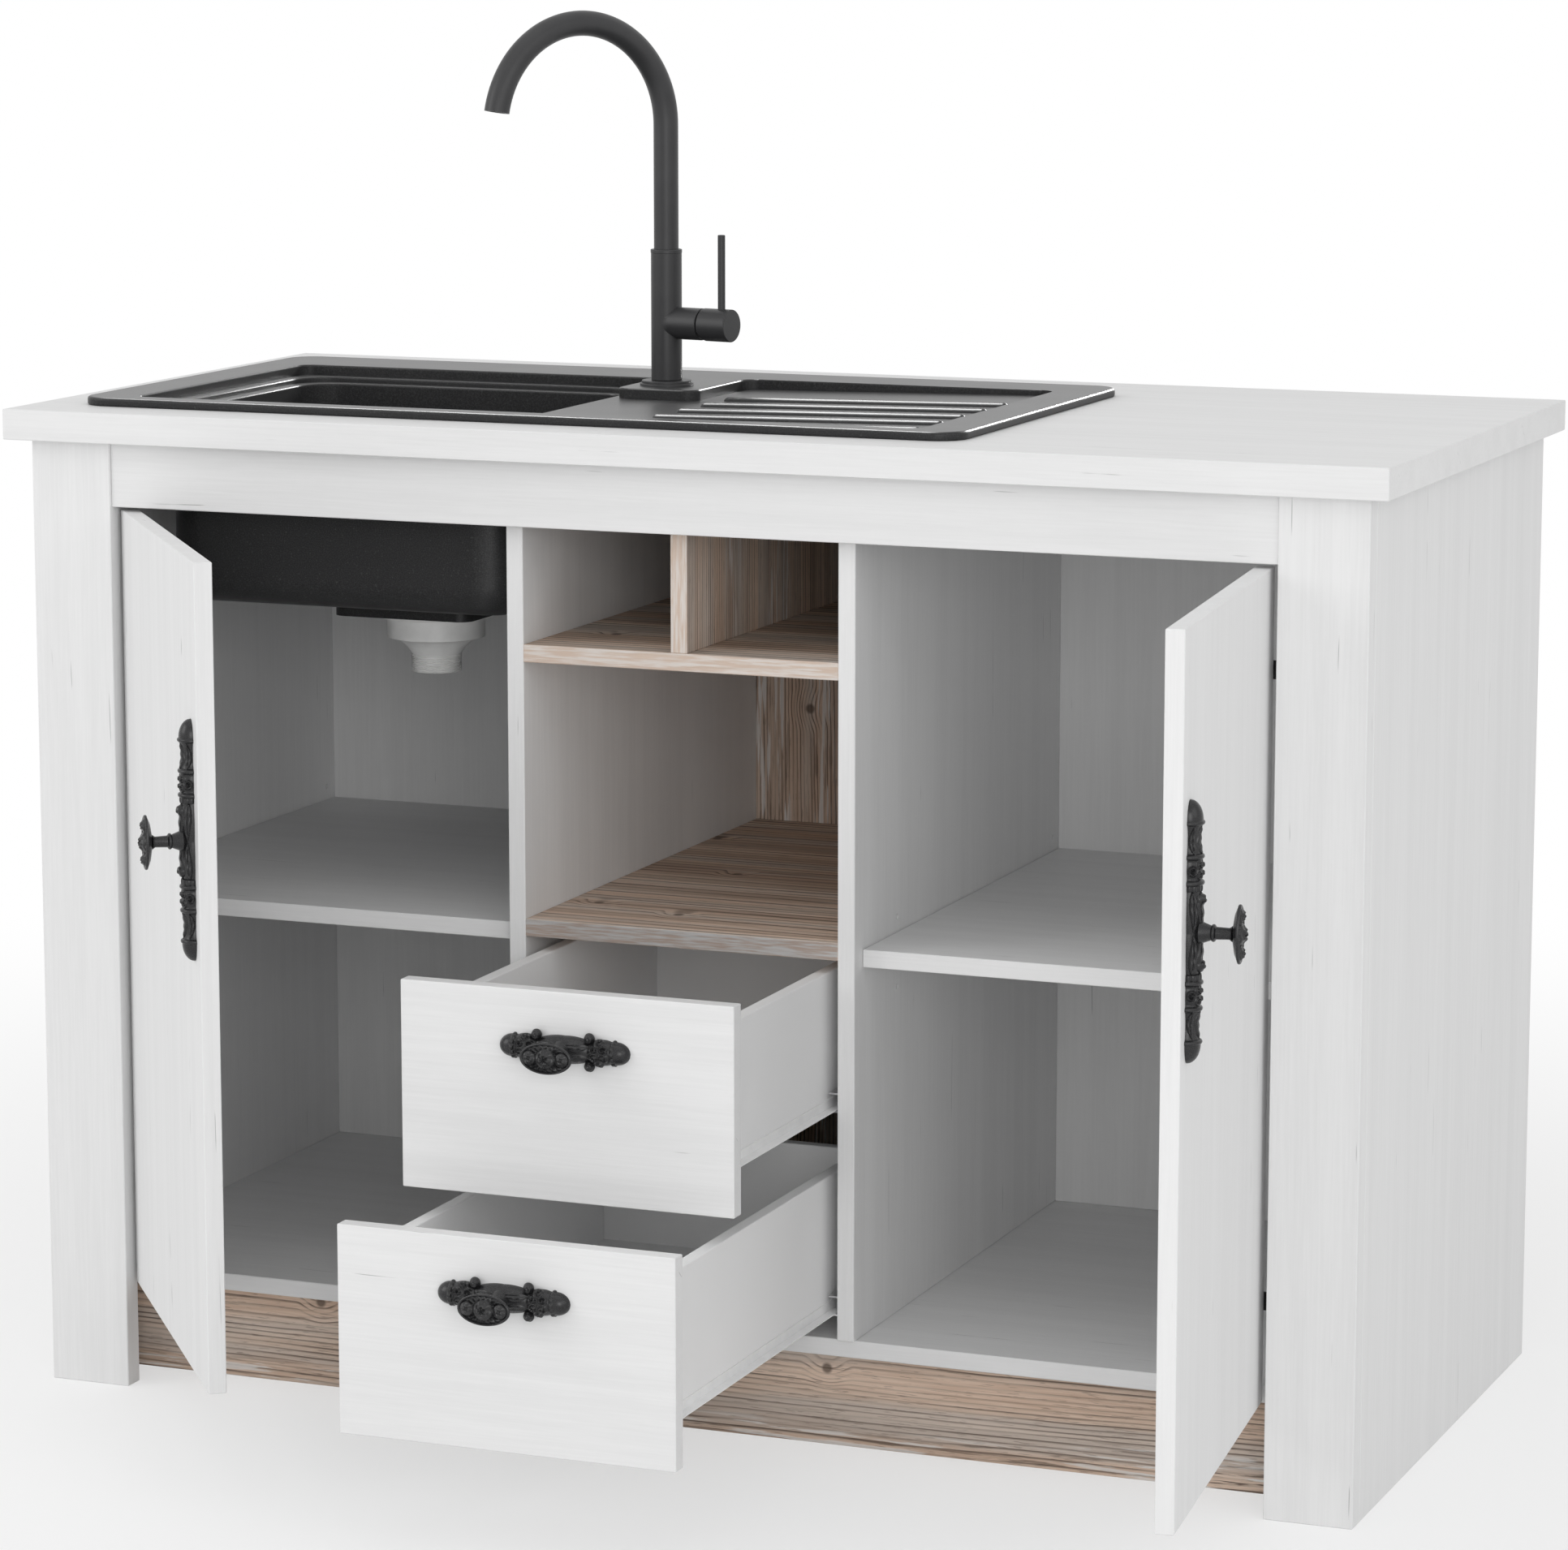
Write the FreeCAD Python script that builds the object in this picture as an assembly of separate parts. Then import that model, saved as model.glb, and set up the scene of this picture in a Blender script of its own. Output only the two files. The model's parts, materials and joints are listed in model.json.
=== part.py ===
"""Sink base cabinet: carcass, two doors, two drawers, inset sink and mixer tap.

Millimetres.  +X is the cabinet's right, +Z is up and the front faces -Y.  The origin is on the floor, in
the wall plane behind the cabinet, at the middle of its width.  Doors and drawers stand open as in use.
"""
import FreeCAD, Part
import math
import os
from FreeCAD import Vector

# Overall sizes and board stock
SIDE_BAY = 452.0
CENTER_BAY = 302.0
DEPTH = 614.0
HEIGHT = 920.0
BOARD = 16.0
TOP_THICK = 28.0
EDGE_CHAMFER = 0.7

# Carcass
SIDE_OVERHANG = 20.0
FRONT_OVERHANG = 18.0
POST_WIDTH = 80.0
POST_DEPTH = 22.0
RAIL_HEIGHT = 60.0
RAIL_SETBACK = 3.0
BASE_TOP = 112.0
PLINTH_SETBACK = 70.0
BACK_RECESS = 4.0
NICHE_TOP = 474.0
CUBBY_HEIGHT = 168.0
SHELF_TOP = 466.0
SHELF_SETBACK = 19.0
SHELF_PLAY = 0.5

# Shelf pins in rows of drilled holes
PIN_RADIUS = 2.5
PIN_CLEARANCE = 0.05
PIN_LENGTH = 16.0
PIN_INSET = 9.0
PIN_HOLE_PITCH = 32.0
PIN_HOLES_EACH_WAY = 1
PIN_ROW_FRONT = 107.0
PIN_ROW_BACK = 17.0

# Doors and drawer fronts
FRONT_GAP = 2.0
FRONT_BOTTOM_GAP = 2.0
DOOR_TOP_GAP = 4.0
FRONT_REVEAL = 3.0
DRAWER_SIDE_COVER = 4.0
DRAWER_TOP_COVER = 9.0
LEFT_DOOR_ANGLE = 52.4
RIGHT_DOOR_ANGLE = 96.5

# Concealed hinges
HINGE_INSET = 89.0
PIVOT_FROM_EDGE = 12.0
PIVOT_FROM_FACE = 7.5
HINGE_PIN_RADIUS = 1.6
HINGE_PIN_CLEARANCE = 0.05
HINGE_EYE_RADIUS = 2.6
ARM_THICK = 2.5
ARM_HEIGHT = 16.0
SWING_CLEARANCE = 0.8
ARM_PLATE_LENGTH = 36.0
ARM_PLATE_HEIGHT = 46.0
ARM_PLATE_GAP = 7.0
CUP_RADIUS = 17.5
CUP_DEPTH = 12.5
CUP_FROM_EDGE = 22.0
CUP_FLOOR = 1.0
CUP_CLEARANCE = 0.1
CUP_FLANGE = 1.2
CUP_FLANGE_WIDTH = 38.0
CUP_FLANGE_HEIGHT = 46.0
CUP_MOUTH_WIDTH = 29.0
CUP_MOUTH_FROM_EDGE = 7.0
CUP_MOUTH_PLAY = 1.0

# Drawer boxes and runners
DRAWER_BOARD = 12.0
DRAWER_BACK_ROOM = 66.0
DRAWER_BOX_RISE = 38.0
DRAWER_BOX_DROP = 22.0
DRAWER_BOTTOM_THICK = 5.0
DRAWER_BOTTOM_RISE = 10.0
DRAWER_GROOVE = 6.0
RUNNER_SPACE = 12.5
RUNNER_THICK = 1.5
RUNNER_HEIGHT = 18.0
RUNNER_RISE = 3.0
RUNNER_CLEARANCE = 0.5
RUNNER_SETBACK = 6.0
RUNNER_SHORTFALL = 2.0
UPPER_DRAWER_OUT = 233.0
LOWER_DRAWER_OUT = 361.0

# Handles: a half-round turned back plate and a knob with an oval head
DOOR_HANDLE_HEIGHT = 584.0
DOOR_HANDLE_FROM_EDGE = 28.0
DRAWER_HANDLE_RISE = 134.0
HANDLE_RING_RADIUS = 12.4
HANDLE_RING_WIDTH = 4.0
HANDLE_BARREL_RADIUS = 12.0
HANDLE_COLLAR_RADIUS = 10.6
HANDLE_NECK_RADIUS = 8.2
DOOR_HANDLE_RADIUS = 11.0
DOOR_HANDLE_MIDDLE = 33.0
DOOR_HANDLE_COLLAR = 5.0
DOOR_HANDLE_BARREL = 17.0
DOOR_HANDLE_NECK = 23.0
DOOR_HANDLE_TIP = 16.0
DOOR_SCROLL_RADIUS = 6.3
DOOR_SCROLL_ALONG = 26.5
DOOR_SCROLL_OUT = 8.0
DRAWER_HANDLE_RADIUS = 12.2
DRAWER_HANDLE_MIDDLE = 24.5
DRAWER_HANDLE_BARREL = 20.0
DRAWER_BALL_RADIUS = 8.8
DRAWER_HANDLE_TIP = 12.0
DRAWER_SCROLL_RADIUS = 4.9
DRAWER_SCROLL_ACROSS = 12.0
DRAWER_SCROLL_OUT = 8.0
KNOB_REACH = 48.0
KNOB_HALF_LENGTH = 24.0
KNOB_HALF_WIDTH = 13.5
KNOB_THICK = 7.0
KNOB_DOME = 3.0
STEM_RADIUS = 5.0
STEM_CLEARANCE = 0.05
COLLAR_RADIUS = 8.0
COLLAR_LENGTH = 6.0

# Sink
SINK_WIDTH = 864.0
SINK_DEPTH = 454.0
SINK_FRONT = 55.0
BOWL_TO_DIVIDER = 15.0
SINK_CORNER = 28.0
RIM_THICK = 8.0
RIM_ROUND = 3.0
RIM_LAP = 22.0
CUTOUT_GAP = 2.0
TRAY_BELOW = 12.0
RIM_LEFT_WIDTH = 48.0
RIM_FRONT_WIDTH = 24.0
RIM_RIGHT_WIDTH = 44.0
RIM_BACK_WIDTH = 65.0
BOWL_BACK_WIDTH = 85.0
RECESS_LOW = 10.0
RECESS_HIGH = 4.0
RECESS_CORNER = 14.0
LEDGE = 22.0
LEDGE_STEP = 5.0
BOWL_WIDTH = 348.0
BOWL_DEPTH = 184.0
BOWL_WALL = 8.0
BOWL_CORNER = 38.0
BOWL_FLOOR_ROUND = 20.0
PLATFORM_WIDTH = 82.0
PLATFORM_FRONT = 42.0
RIB_COUNT = 5
RIB_PITCH = 57.0
RIB_RADIUS = 6.0
RIB_HEIGHT = 4.0
RIB_FROM_FRONT = 23.0
RIB_LEFT = 120.0
RIB_RIGHT = 12.0
BOSS_LEFT = 80.0
BOSS_RIGHT = 62.0
BOSS_HALF_DEPTH = 62.0
BOSS_CORNER = 14.0
BOSS_THICK = 23.0

# Waste under the bowl
DRAIN_RIGHT = 14.0
DRAIN_BACK = 26.0
DRAIN_RADIUS = 42.0
DRAIN_SEAT_RADIUS = 58.0
DRAIN_SEAT_DEPTH = 4.0
FLANGE_THICK = 3.5
FLANGE_PLAY = 1.0
SLEEVE_WALL = 3.0
WASTE_FLANGE_LIP = 10.5
WASTE_FLANGE_THICK = 3.0
WASTE_PLAY = 2.0
WASTE_WALL = 3.5
WASTE_BODY_HEIGHT = 20.0
WASTE_CONE_HEIGHT = 17.0
OUTLET_RADIUS = 23.9
OUTLET_LENGTH = 16.5
STRAINER_PLAY = 2.0
STRAINER_WALL = 1.5
STRAINER_DEPTH = 24.0
STRAINER_LIP = 3.0
STRAINER_HOLES = 8
STRAINER_HOLE_RADIUS = 3.0
STRAINER_KNOB_RADIUS = 4.0
STRAINER_KNOB_HEIGHT = 9.0

# Mixer tap
TAP_FROM_BOWL = 35.5
TAP_FROM_BACK = 149.0
TAP_HOLE_RADIUS = 17.5
TAP_RING_RADIUS = 25.3
TAP_RING_HEIGHT = 5.0
TAP_BODY_RADIUS = 14.5
TAP_BODY_HEIGHT = 123.0
SHANK_RADIUS = 14.0
SHANK_LENGTH = 44.0
SHANK_BORE = 9.0
NUT_RADIUS = 25.0
NUT_HEIGHT = 12.0
NUT_CLEARANCE = 0.05
NOTCH_CLEARANCE = 6.0
SPOUT_RADIUS = 11.6
SPOUT_BORE = 9.2
SPOUT_ARCH = 95.6
SPOUT_RISE = 116.0
SPOUT_SOCKET = 30.0
SPOUT_CLEARANCE = 0.08
SPOUT_TURN = 58.6
SPOUT_SWEEP = 170.0
AERATOR_LENGTH = 6.0
AERATOR_WALL = 2.5
AERATOR_PLAY = 0.3
LEVER_TURN = -11.0
LEVER_TILT = 22.0
LEVER_RISE = 54.0
SIDE_ARM_RADIUS = 15.0
SIDE_ARM_REACH = 41.0
CORE_REACH = 54.0
CORE_RADIUS = 9.5
CORE_STEM_RADIUS = 4.8
CORE_STEM_SEAT = 15.0
CORE_CLEARANCE = 0.08
CAP_RADIUS = 15.3
CAP_GAP = 1.5
CAP_TILT_GAP = 0.5
CAP_END = 73.5
CAP_BORE_CLEARANCE = 0.4
CAP_ROUND = 1.0
TILT_PIN_RADIUS = 2.0
TILT_PIN_SEAT = 1.2
ROD_RADIUS = 3.5
ROD_REACH = 62.0
ROD_LENGTH = 69.0
ROD_SEAT = 4.5
ROD_CLEARANCE = 0.05

# Planes shared by several pieces
BAY_IN = CENTER_BAY / 2
BAY_OUT = BAY_IN + BOARD
SIDE_IN = BAY_OUT + SIDE_BAY
CARCASS_X = SIDE_IN + BOARD
HALF_WIDTH = CARCASS_X + SIDE_OVERHANG
POST_IN = CARCASS_X - POST_WIDTH
UNDER_TOP = HEIGHT - TOP_THICK
POST_FRONT = FRONT_OVERHANG - DEPTH
CARCASS_FRONT = POST_FRONT + POST_DEPTH
BASE_UNDER = BASE_TOP - BOARD
BACK_FRONT = -BACK_RECESS - BOARD
CUBBY_TOP = UNDER_TOP - CUBBY_HEIGHT
RAIL_FRONT = POST_FRONT + RAIL_SETBACK
RAIL_UNDER = UNDER_TOP - RAIL_HEIGHT
SHELF_UNDER = SHELF_TOP - BOARD
SHELF_FRONT = CARCASS_FRONT + SHELF_SETBACK
PIN_HEIGHT = SHELF_UNDER - PIN_RADIUS
PIN_ROWS = (CARCASS_FRONT + PIN_ROW_FRONT, BACK_FRONT - PIN_ROW_BACK)
FRONT_BACK_FACE = CARCASS_FRONT - FRONT_GAP
FRONT_FACE = FRONT_BACK_FACE - BOARD
FRONT_BOTTOM = BASE_UNDER + FRONT_BOTTOM_GAP
DOOR_TOP = RAIL_UNDER - DOOR_TOP_GAP
DOOR_SWING = math.hypot(PIVOT_FROM_EDGE, BOARD - PIVOT_FROM_FACE) + SWING_CLEARANCE
PIVOT_X = POST_IN - DOOR_SWING
PIVOT_Y = FRONT_FACE + PIVOT_FROM_FACE
BASE_FRONT = PIVOT_Y + DOOR_SWING
DOOR_OUTER = PIVOT_X + PIVOT_FROM_EDGE
DRAWER_HALF = BAY_IN + DRAWER_SIDE_COVER
DOOR_INNER = DRAWER_HALF + FRONT_REVEAL
DRAWER_FRONTS_TOP = NICHE_TOP - BOARD + DRAWER_TOP_COVER
DRAWER_FRONT_HEIGHT = (DRAWER_FRONTS_TOP - FRONT_BOTTOM - FRONT_REVEAL) / 2
HINGE_HEIGHTS = (FRONT_BOTTOM + HINGE_INSET, DOOR_TOP - HINGE_INSET)
CUP_MOUTH_HALF = ARM_HEIGHT / 2 + CUP_MOUTH_PLAY
BOX_HALF = BAY_IN - RUNNER_SPACE
BOX_END = BACK_FRONT - DRAWER_BACK_ROOM

# Sink outline and levels
RIM_TOP = HEIGHT + RIM_THICK
BOWL_X1 = -BAY_OUT - BOWL_TO_DIVIDER - BOWL_WALL
BOWL_X0 = BOWL_X1 - BOWL_WIDTH
RECESS_X0 = BOWL_X0 - LEDGE
SINK_X0 = RECESS_X0 - RIM_LEFT_WIDTH
SINK_X1 = SINK_X0 + SINK_WIDTH
SINK_Y0 = SINK_FRONT - DEPTH
SINK_Y1 = SINK_Y0 + SINK_DEPTH
TRAY_UNDER = HEIGHT - TRAY_BELOW
RECESS_X1 = SINK_X1 - RIM_RIGHT_WIDTH
RECESS_Y0 = SINK_Y0 + RIM_FRONT_WIDTH
RECESS_Y1 = SINK_Y1 - RIM_BACK_WIDTH
BOWL_RECESS_Y1 = SINK_Y1 - BOWL_BACK_WIDTH
BOWL_Y0 = RECESS_Y0 + LEDGE
BOWL_Y1 = BOWL_RECESS_Y1 - LEDGE
BOWL_BOTTOM = RIM_TOP - BOWL_DEPTH
TAP_X = BOWL_X1 + BOWL_WALL + TAP_FROM_BOWL
TAP_Y = SINK_Y1 - TAP_FROM_BACK
SHANK_BOTTOM = TRAY_UNDER - SHANK_LENGTH
PLATFORM_X1 = BOWL_X1 + BOWL_WALL + PLATFORM_WIDTH
PLATFORM_Y0 = TAP_Y - PLATFORM_FRONT
DRAIN_X = (BOWL_X0 + BOWL_X1) / 2 + DRAIN_RIGHT
DRAIN_Y = (BOWL_Y0 + BOWL_Y1) / 2 + DRAIN_BACK
BOSS_UNDER = BOWL_BOTTOM - BOWL_WALL - BOSS_THICK
SLEEVE_RADIUS = DRAIN_RADIUS - FLANGE_PLAY
SLEEVE_BORE = SLEEVE_RADIUS - SLEEVE_WALL
WASTE_RADIUS = SLEEVE_RADIUS + WASTE_PLAY + WASTE_WALL
WASTE_FLANGE_RADIUS = WASTE_RADIUS + WASTE_FLANGE_LIP
FLANGE_UNDER = BOWL_BOTTOM - DRAIN_SEAT_DEPTH
FLANGE_TOP = FLANGE_UNDER + FLANGE_THICK

UP = Vector(0, 0, 1)
ORIGIN = Vector(0, 0, 0)
parts = {}


def slab(x0, x1, y0, y1, z0, z1):
    """Plain rectangular block between two corners."""
    return Part.makeBox(x1 - x0, y1 - y0, z1 - z0, Vector(x0, y0, z0))


def board(x0, x1, y0, y1, z0, z1):
    """Block with its edges broken, as an edged board has."""
    block = slab(x0, x1, y0, y1, z0, z1)
    return block.makeChamfer(EDGE_CHAMFER, block.Edges)


def rod(radius, start, end):
    """Cylinder from one point to another."""
    along = end - start
    return Part.makeCylinder(radius, along.Length, start, along)


def rounded_prism(points, radius, z0, z1):
    """Upright prism over a polygon whose corners are arcs of one radius."""
    corners = [Vector(x, y, z0) for x, y in points]
    edges = []
    joints = []
    for index, corner in enumerate(corners):
        before = (corners[index - 1] - corner).normalize()
        after = (corners[(index + 1) % len(corners)] - corner).normalize()
        half_angle = before.getAngle(after) / 2
        tangent = radius / math.tan(half_angle)
        bisector = (before + after).normalize()
        middle = corner + bisector * (radius / math.sin(half_angle) - radius)
        joints.append((corner + before * tangent, middle, corner + after * tangent))
    for index, (first, middle, last) in enumerate(joints):
        edges.append(Part.Arc(first, middle, last).toShape())
        edges.append(Part.makeLine(last, joints[(index + 1) % len(joints)][0]))
    return Part.Face(Part.Wire(edges)).extrude(Vector(0, 0, z1 - z0))


def rounded_block(x0, x1, y0, y1, z0, z1, radius):
    """Block with rounded upright edges."""
    return rounded_prism([(x0, y0), (x1, y0), (x1, y1), (x0, y1)], radius, z0, z1)


def turned(profile):
    """Solid of revolution about Z from (radius, height) points, closed on the axis."""
    points = [Vector(radius, 0, height) for radius, height in profile]
    points = [Vector(0, 0, points[0].z)] + points + [Vector(0, 0, points[-1].z)]
    points = [point for index, point in enumerate(points) if index == 0 or point != points[index - 1]]
    return Part.Face(Part.makePolygon(points + points[:1])).revolve(ORIGIN, UP, 360)


def place(shape, x, y, z):
    """The shape moved by a vector."""
    moved = shape.copy()
    moved.translate(Vector(x, y, z))
    return moved


def mirrored(shape, side):
    """The shape as drawn on the left, or its mirror image for the right side."""
    return shape if side < 0 else shape.mirror(ORIGIN, Vector(1, 0, 0))


def make_carcass():
    """Posts, panels, dividers and rails that stand on the floor."""
    parts["left_post"] = board(-CARCASS_X, -POST_IN, POST_FRONT, CARCASS_FRONT, 0, UNDER_TOP)
    parts["right_post"] = board(POST_IN, CARCASS_X, POST_FRONT, CARCASS_FRONT, 0, UNDER_TOP)
    parts["left_side_panel"] = board(-CARCASS_X, -SIDE_IN, CARCASS_FRONT, 0, 0, UNDER_TOP)
    parts["right_side_panel"] = board(SIDE_IN, CARCASS_X, CARCASS_FRONT, 0, 0, UNDER_TOP)
    parts["front_rail"] = board(-POST_IN, POST_IN, RAIL_FRONT, RAIL_FRONT + BOARD,
                                RAIL_UNDER, UNDER_TOP)
    parts["base_panel"] = board(-SIDE_IN, SIDE_IN, BASE_FRONT, -BACK_RECESS, BASE_UNDER, BASE_TOP)
    plinth_front = POST_FRONT + PLINTH_SETBACK
    parts["plinth_board"] = board(-SIDE_IN, SIDE_IN, plinth_front, plinth_front + BOARD, 0, BASE_UNDER)
    parts["rear_base_rail"] = board(-SIDE_IN, SIDE_IN, -BOARD, 0, 0, BASE_UNDER)
    divider = board(-BAY_OUT, -BAY_IN, CARCASS_FRONT, -BACK_RECESS, BASE_TOP, UNDER_TOP)
    notch_half = NUT_RADIUS + NOTCH_CLEARANCE
    notch = slab(-BAY_OUT, -BAY_IN, TAP_Y - notch_half, TAP_Y + notch_half,
                 SHANK_BOTTOM - NOTCH_CLEARANCE, UNDER_TOP)
    parts["left_divider"] = divider.cut(notch)
    parts["right_divider"] = board(BAY_IN, BAY_OUT, CARCASS_FRONT, -BACK_RECESS, BASE_TOP, UNDER_TOP)
    back_spans = {"left": (-SIDE_IN, -BAY_OUT), "center": (-BAY_IN, BAY_IN),
                  "right": (BAY_OUT, SIDE_IN)}
    for name, (x0, x1) in back_spans.items():
        parts[name + "_back_panel"] = board(x0, x1, BACK_FRONT, -BACK_RECESS, BASE_TOP, UNDER_TOP)


def make_center_bay():
    """Fixed shelves and the upright that part the open middle bay."""
    for name, top in (("niche_shelf", NICHE_TOP), ("cubby_shelf", CUBBY_TOP)):
        parts[name] = board(-BAY_IN, BAY_IN, CARCASS_FRONT, BACK_FRONT, top - BOARD, top)
    parts["cubby_divider"] = board(-BOARD / 2, BOARD / 2, CARCASS_FRONT, BACK_FRONT, CUBBY_TOP, UNDER_TOP)


def make_shelves():
    """Loose shelves on pins, and the rows of drilled holes in the walls beside them."""
    pins = []
    bays = {"left": (-SIDE_IN, -BAY_OUT), "right": (BAY_OUT, SIDE_IN)}
    walls = {"left": ("left_side_panel", "left_divider"),
             "right": ("right_divider", "right_side_panel")}
    for name, (x0, x1) in bays.items():
        parts[name + "_shelf"] = board(x0 + SHELF_PLAY, x1 - SHELF_PLAY, SHELF_FRONT,
                                       BACK_FRONT - SHELF_PLAY, SHELF_UNDER, SHELF_TOP)
        for wall, face, inward in zip(walls[name], (x0, x1), (1, -1)):
            for row in PIN_ROWS:
                for step in range(-PIN_HOLES_EACH_WAY, PIN_HOLES_EACH_WAY + 1):
                    height = PIN_HEIGHT + step * PIN_HOLE_PITCH
                    mouth = Vector(face, row, height)
                    floor = Vector(face - inward * PIN_INSET, row, height)
                    parts[wall] = parts[wall].cut(rod(PIN_RADIUS + PIN_CLEARANCE, floor, mouth))
                seat = Vector(face - inward * PIN_INSET, row, PIN_HEIGHT)
                pins.append(rod(PIN_RADIUS, seat, seat + Vector(inward * PIN_LENGTH, 0, 0)))
    parts["shelf_pins"] = Part.makeCompound(pins)


def make_worktop():
    """Worktop with the cut-out that takes the sink."""
    top = board(-HALF_WIDTH, HALF_WIDTH, -DEPTH, 0, UNDER_TOP, HEIGHT)
    inset = RIM_LAP - CUTOUT_GAP
    hole = rounded_block(SINK_X0 + inset, SINK_X1 - inset, SINK_Y0 + inset, SINK_Y1 - inset,
                         UNDER_TOP, HEIGHT, SINK_CORNER)
    parts["worktop"] = top.cut(hole)


def recess_space():
    """Space of the sunk area round the bowl and over the sloped drainer."""
    outline = [(RECESS_X0, RECESS_Y0), (RECESS_X1, RECESS_Y0), (RECESS_X1, RECESS_Y1),
               (PLATFORM_X1, RECESS_Y1), (PLATFORM_X1, PLATFORM_Y0), (BOWL_X1 + BOWL_WALL, PLATFORM_Y0),
               (BOWL_X1 + BOWL_WALL, BOWL_RECESS_Y1), (RECESS_X0, BOWL_RECESS_Y1)]
    shaft = rounded_prism(outline, RECESS_CORNER, TRAY_UNDER, RIM_TOP)
    low = RIM_TOP - RECESS_LOW
    slope = [Vector(SINK_X0, SINK_Y0, low), Vector(PLATFORM_X1, SINK_Y0, low),
             Vector(SINK_X1, SINK_Y0, RIM_TOP - RECESS_HIGH), Vector(SINK_X1, SINK_Y0, RIM_TOP),
             Vector(SINK_X0, SINK_Y0, RIM_TOP)]
    above = Part.Face(Part.makePolygon(slope + slope[:1])).extrude(Vector(0, SINK_DEPTH, 0))
    return shaft.common(above)


def drainer_ribs():
    """Rounded ribs that follow the slope of the drainer, with ball ends."""
    low = RIM_TOP - RECESS_LOW
    rise = (RECESS_LOW - RECESS_HIGH) / (SINK_X1 - PLATFORM_X1)
    sink_in = RIB_RADIUS - RIB_HEIGHT
    ends = [(x, low + (x - PLATFORM_X1) * rise - sink_in)
            for x in (BOWL_X1 + RIB_LEFT, RECESS_X1 - RIB_RIGHT)]
    ribs = []
    for index in range(RIB_COUNT):
        y = RECESS_Y0 + RIB_FROM_FRONT + index * RIB_PITCH
        first, last = [Vector(x, y, z) for x, z in ends]
        ribs += [rod(RIB_RADIUS, first, last)]
        ribs += [Part.makeSphere(RIB_RADIUS, end) for end in (first, last)]
    return ribs


def make_sink():
    """One-piece sink: rim, tray, bowl, ribbed drainer, tap hole and drain hole."""
    rim = rounded_block(SINK_X0, SINK_X1, SINK_Y0, SINK_Y1, HEIGHT, RIM_TOP, SINK_CORNER)
    rim_edges = [edge for edge in rim.Edges if min(vertex.Z for vertex in edge.Vertexes) > HEIGHT]
    rim = rim.makeFillet(RIM_ROUND, rim_edges)
    tray = rounded_block(SINK_X0 + RIM_LAP, SINK_X1 - RIM_LAP, SINK_Y0 + RIM_LAP, SINK_Y1 - RIM_LAP,
                         TRAY_UNDER, HEIGHT, SINK_CORNER)
    shell = rounded_block(BOWL_X0 - BOWL_WALL, BOWL_X1 + BOWL_WALL, BOWL_Y0 - BOWL_WALL,
                          BOWL_Y1 + BOWL_WALL, BOWL_BOTTOM - BOWL_WALL, HEIGHT, BOWL_CORNER + BOWL_WALL)
    shell_floor = [edge for edge in shell.Edges
                   if max(vertex.Z for vertex in edge.Vertexes) < BOWL_BOTTOM]
    shell = shell.makeFillet(BOWL_FLOOR_ROUND + BOWL_WALL, shell_floor)
    boss = rounded_block(DRAIN_X - BOSS_LEFT, DRAIN_X + BOSS_RIGHT, DRAIN_Y - BOSS_HALF_DEPTH,
                         DRAIN_Y + BOSS_HALF_DEPTH, BOSS_UNDER, BOWL_BOTTOM, BOSS_CORNER)
    bowl = rounded_block(BOWL_X0, BOWL_X1, BOWL_Y0, BOWL_Y1, BOWL_BOTTOM, RIM_TOP, BOWL_CORNER)
    bowl_floor = [edge for edge in bowl.Edges if max(vertex.Z for vertex in edge.Vertexes) < HEIGHT]
    bowl = bowl.makeFillet(BOWL_FLOOR_ROUND, bowl_floor)
    step = LEDGE / 2
    ledge = rounded_block(BOWL_X0 - step, BOWL_X1, BOWL_Y0 - step, BOWL_Y1 + step,
                          RIM_TOP - RECESS_LOW - LEDGE_STEP, RIM_TOP, BOWL_CORNER)
    body = rim.fuse([tray, shell, boss]).cut(recess_space()).fuse(drainer_ribs()).cut([bowl, ledge])
    drain = rod(DRAIN_RADIUS, Vector(DRAIN_X, DRAIN_Y, BOSS_UNDER), Vector(DRAIN_X, DRAIN_Y, BOWL_BOTTOM))
    seat = rod(DRAIN_SEAT_RADIUS, Vector(DRAIN_X, DRAIN_Y, FLANGE_UNDER),
               Vector(DRAIN_X, DRAIN_Y, BOWL_BOTTOM))
    tap_hole = rod(TAP_HOLE_RADIUS, Vector(TAP_X, TAP_Y, TRAY_UNDER), Vector(TAP_X, TAP_Y, RIM_TOP))
    parts["sink"] = body.cut([drain, seat, tap_hole]).removeSplitter()


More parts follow.
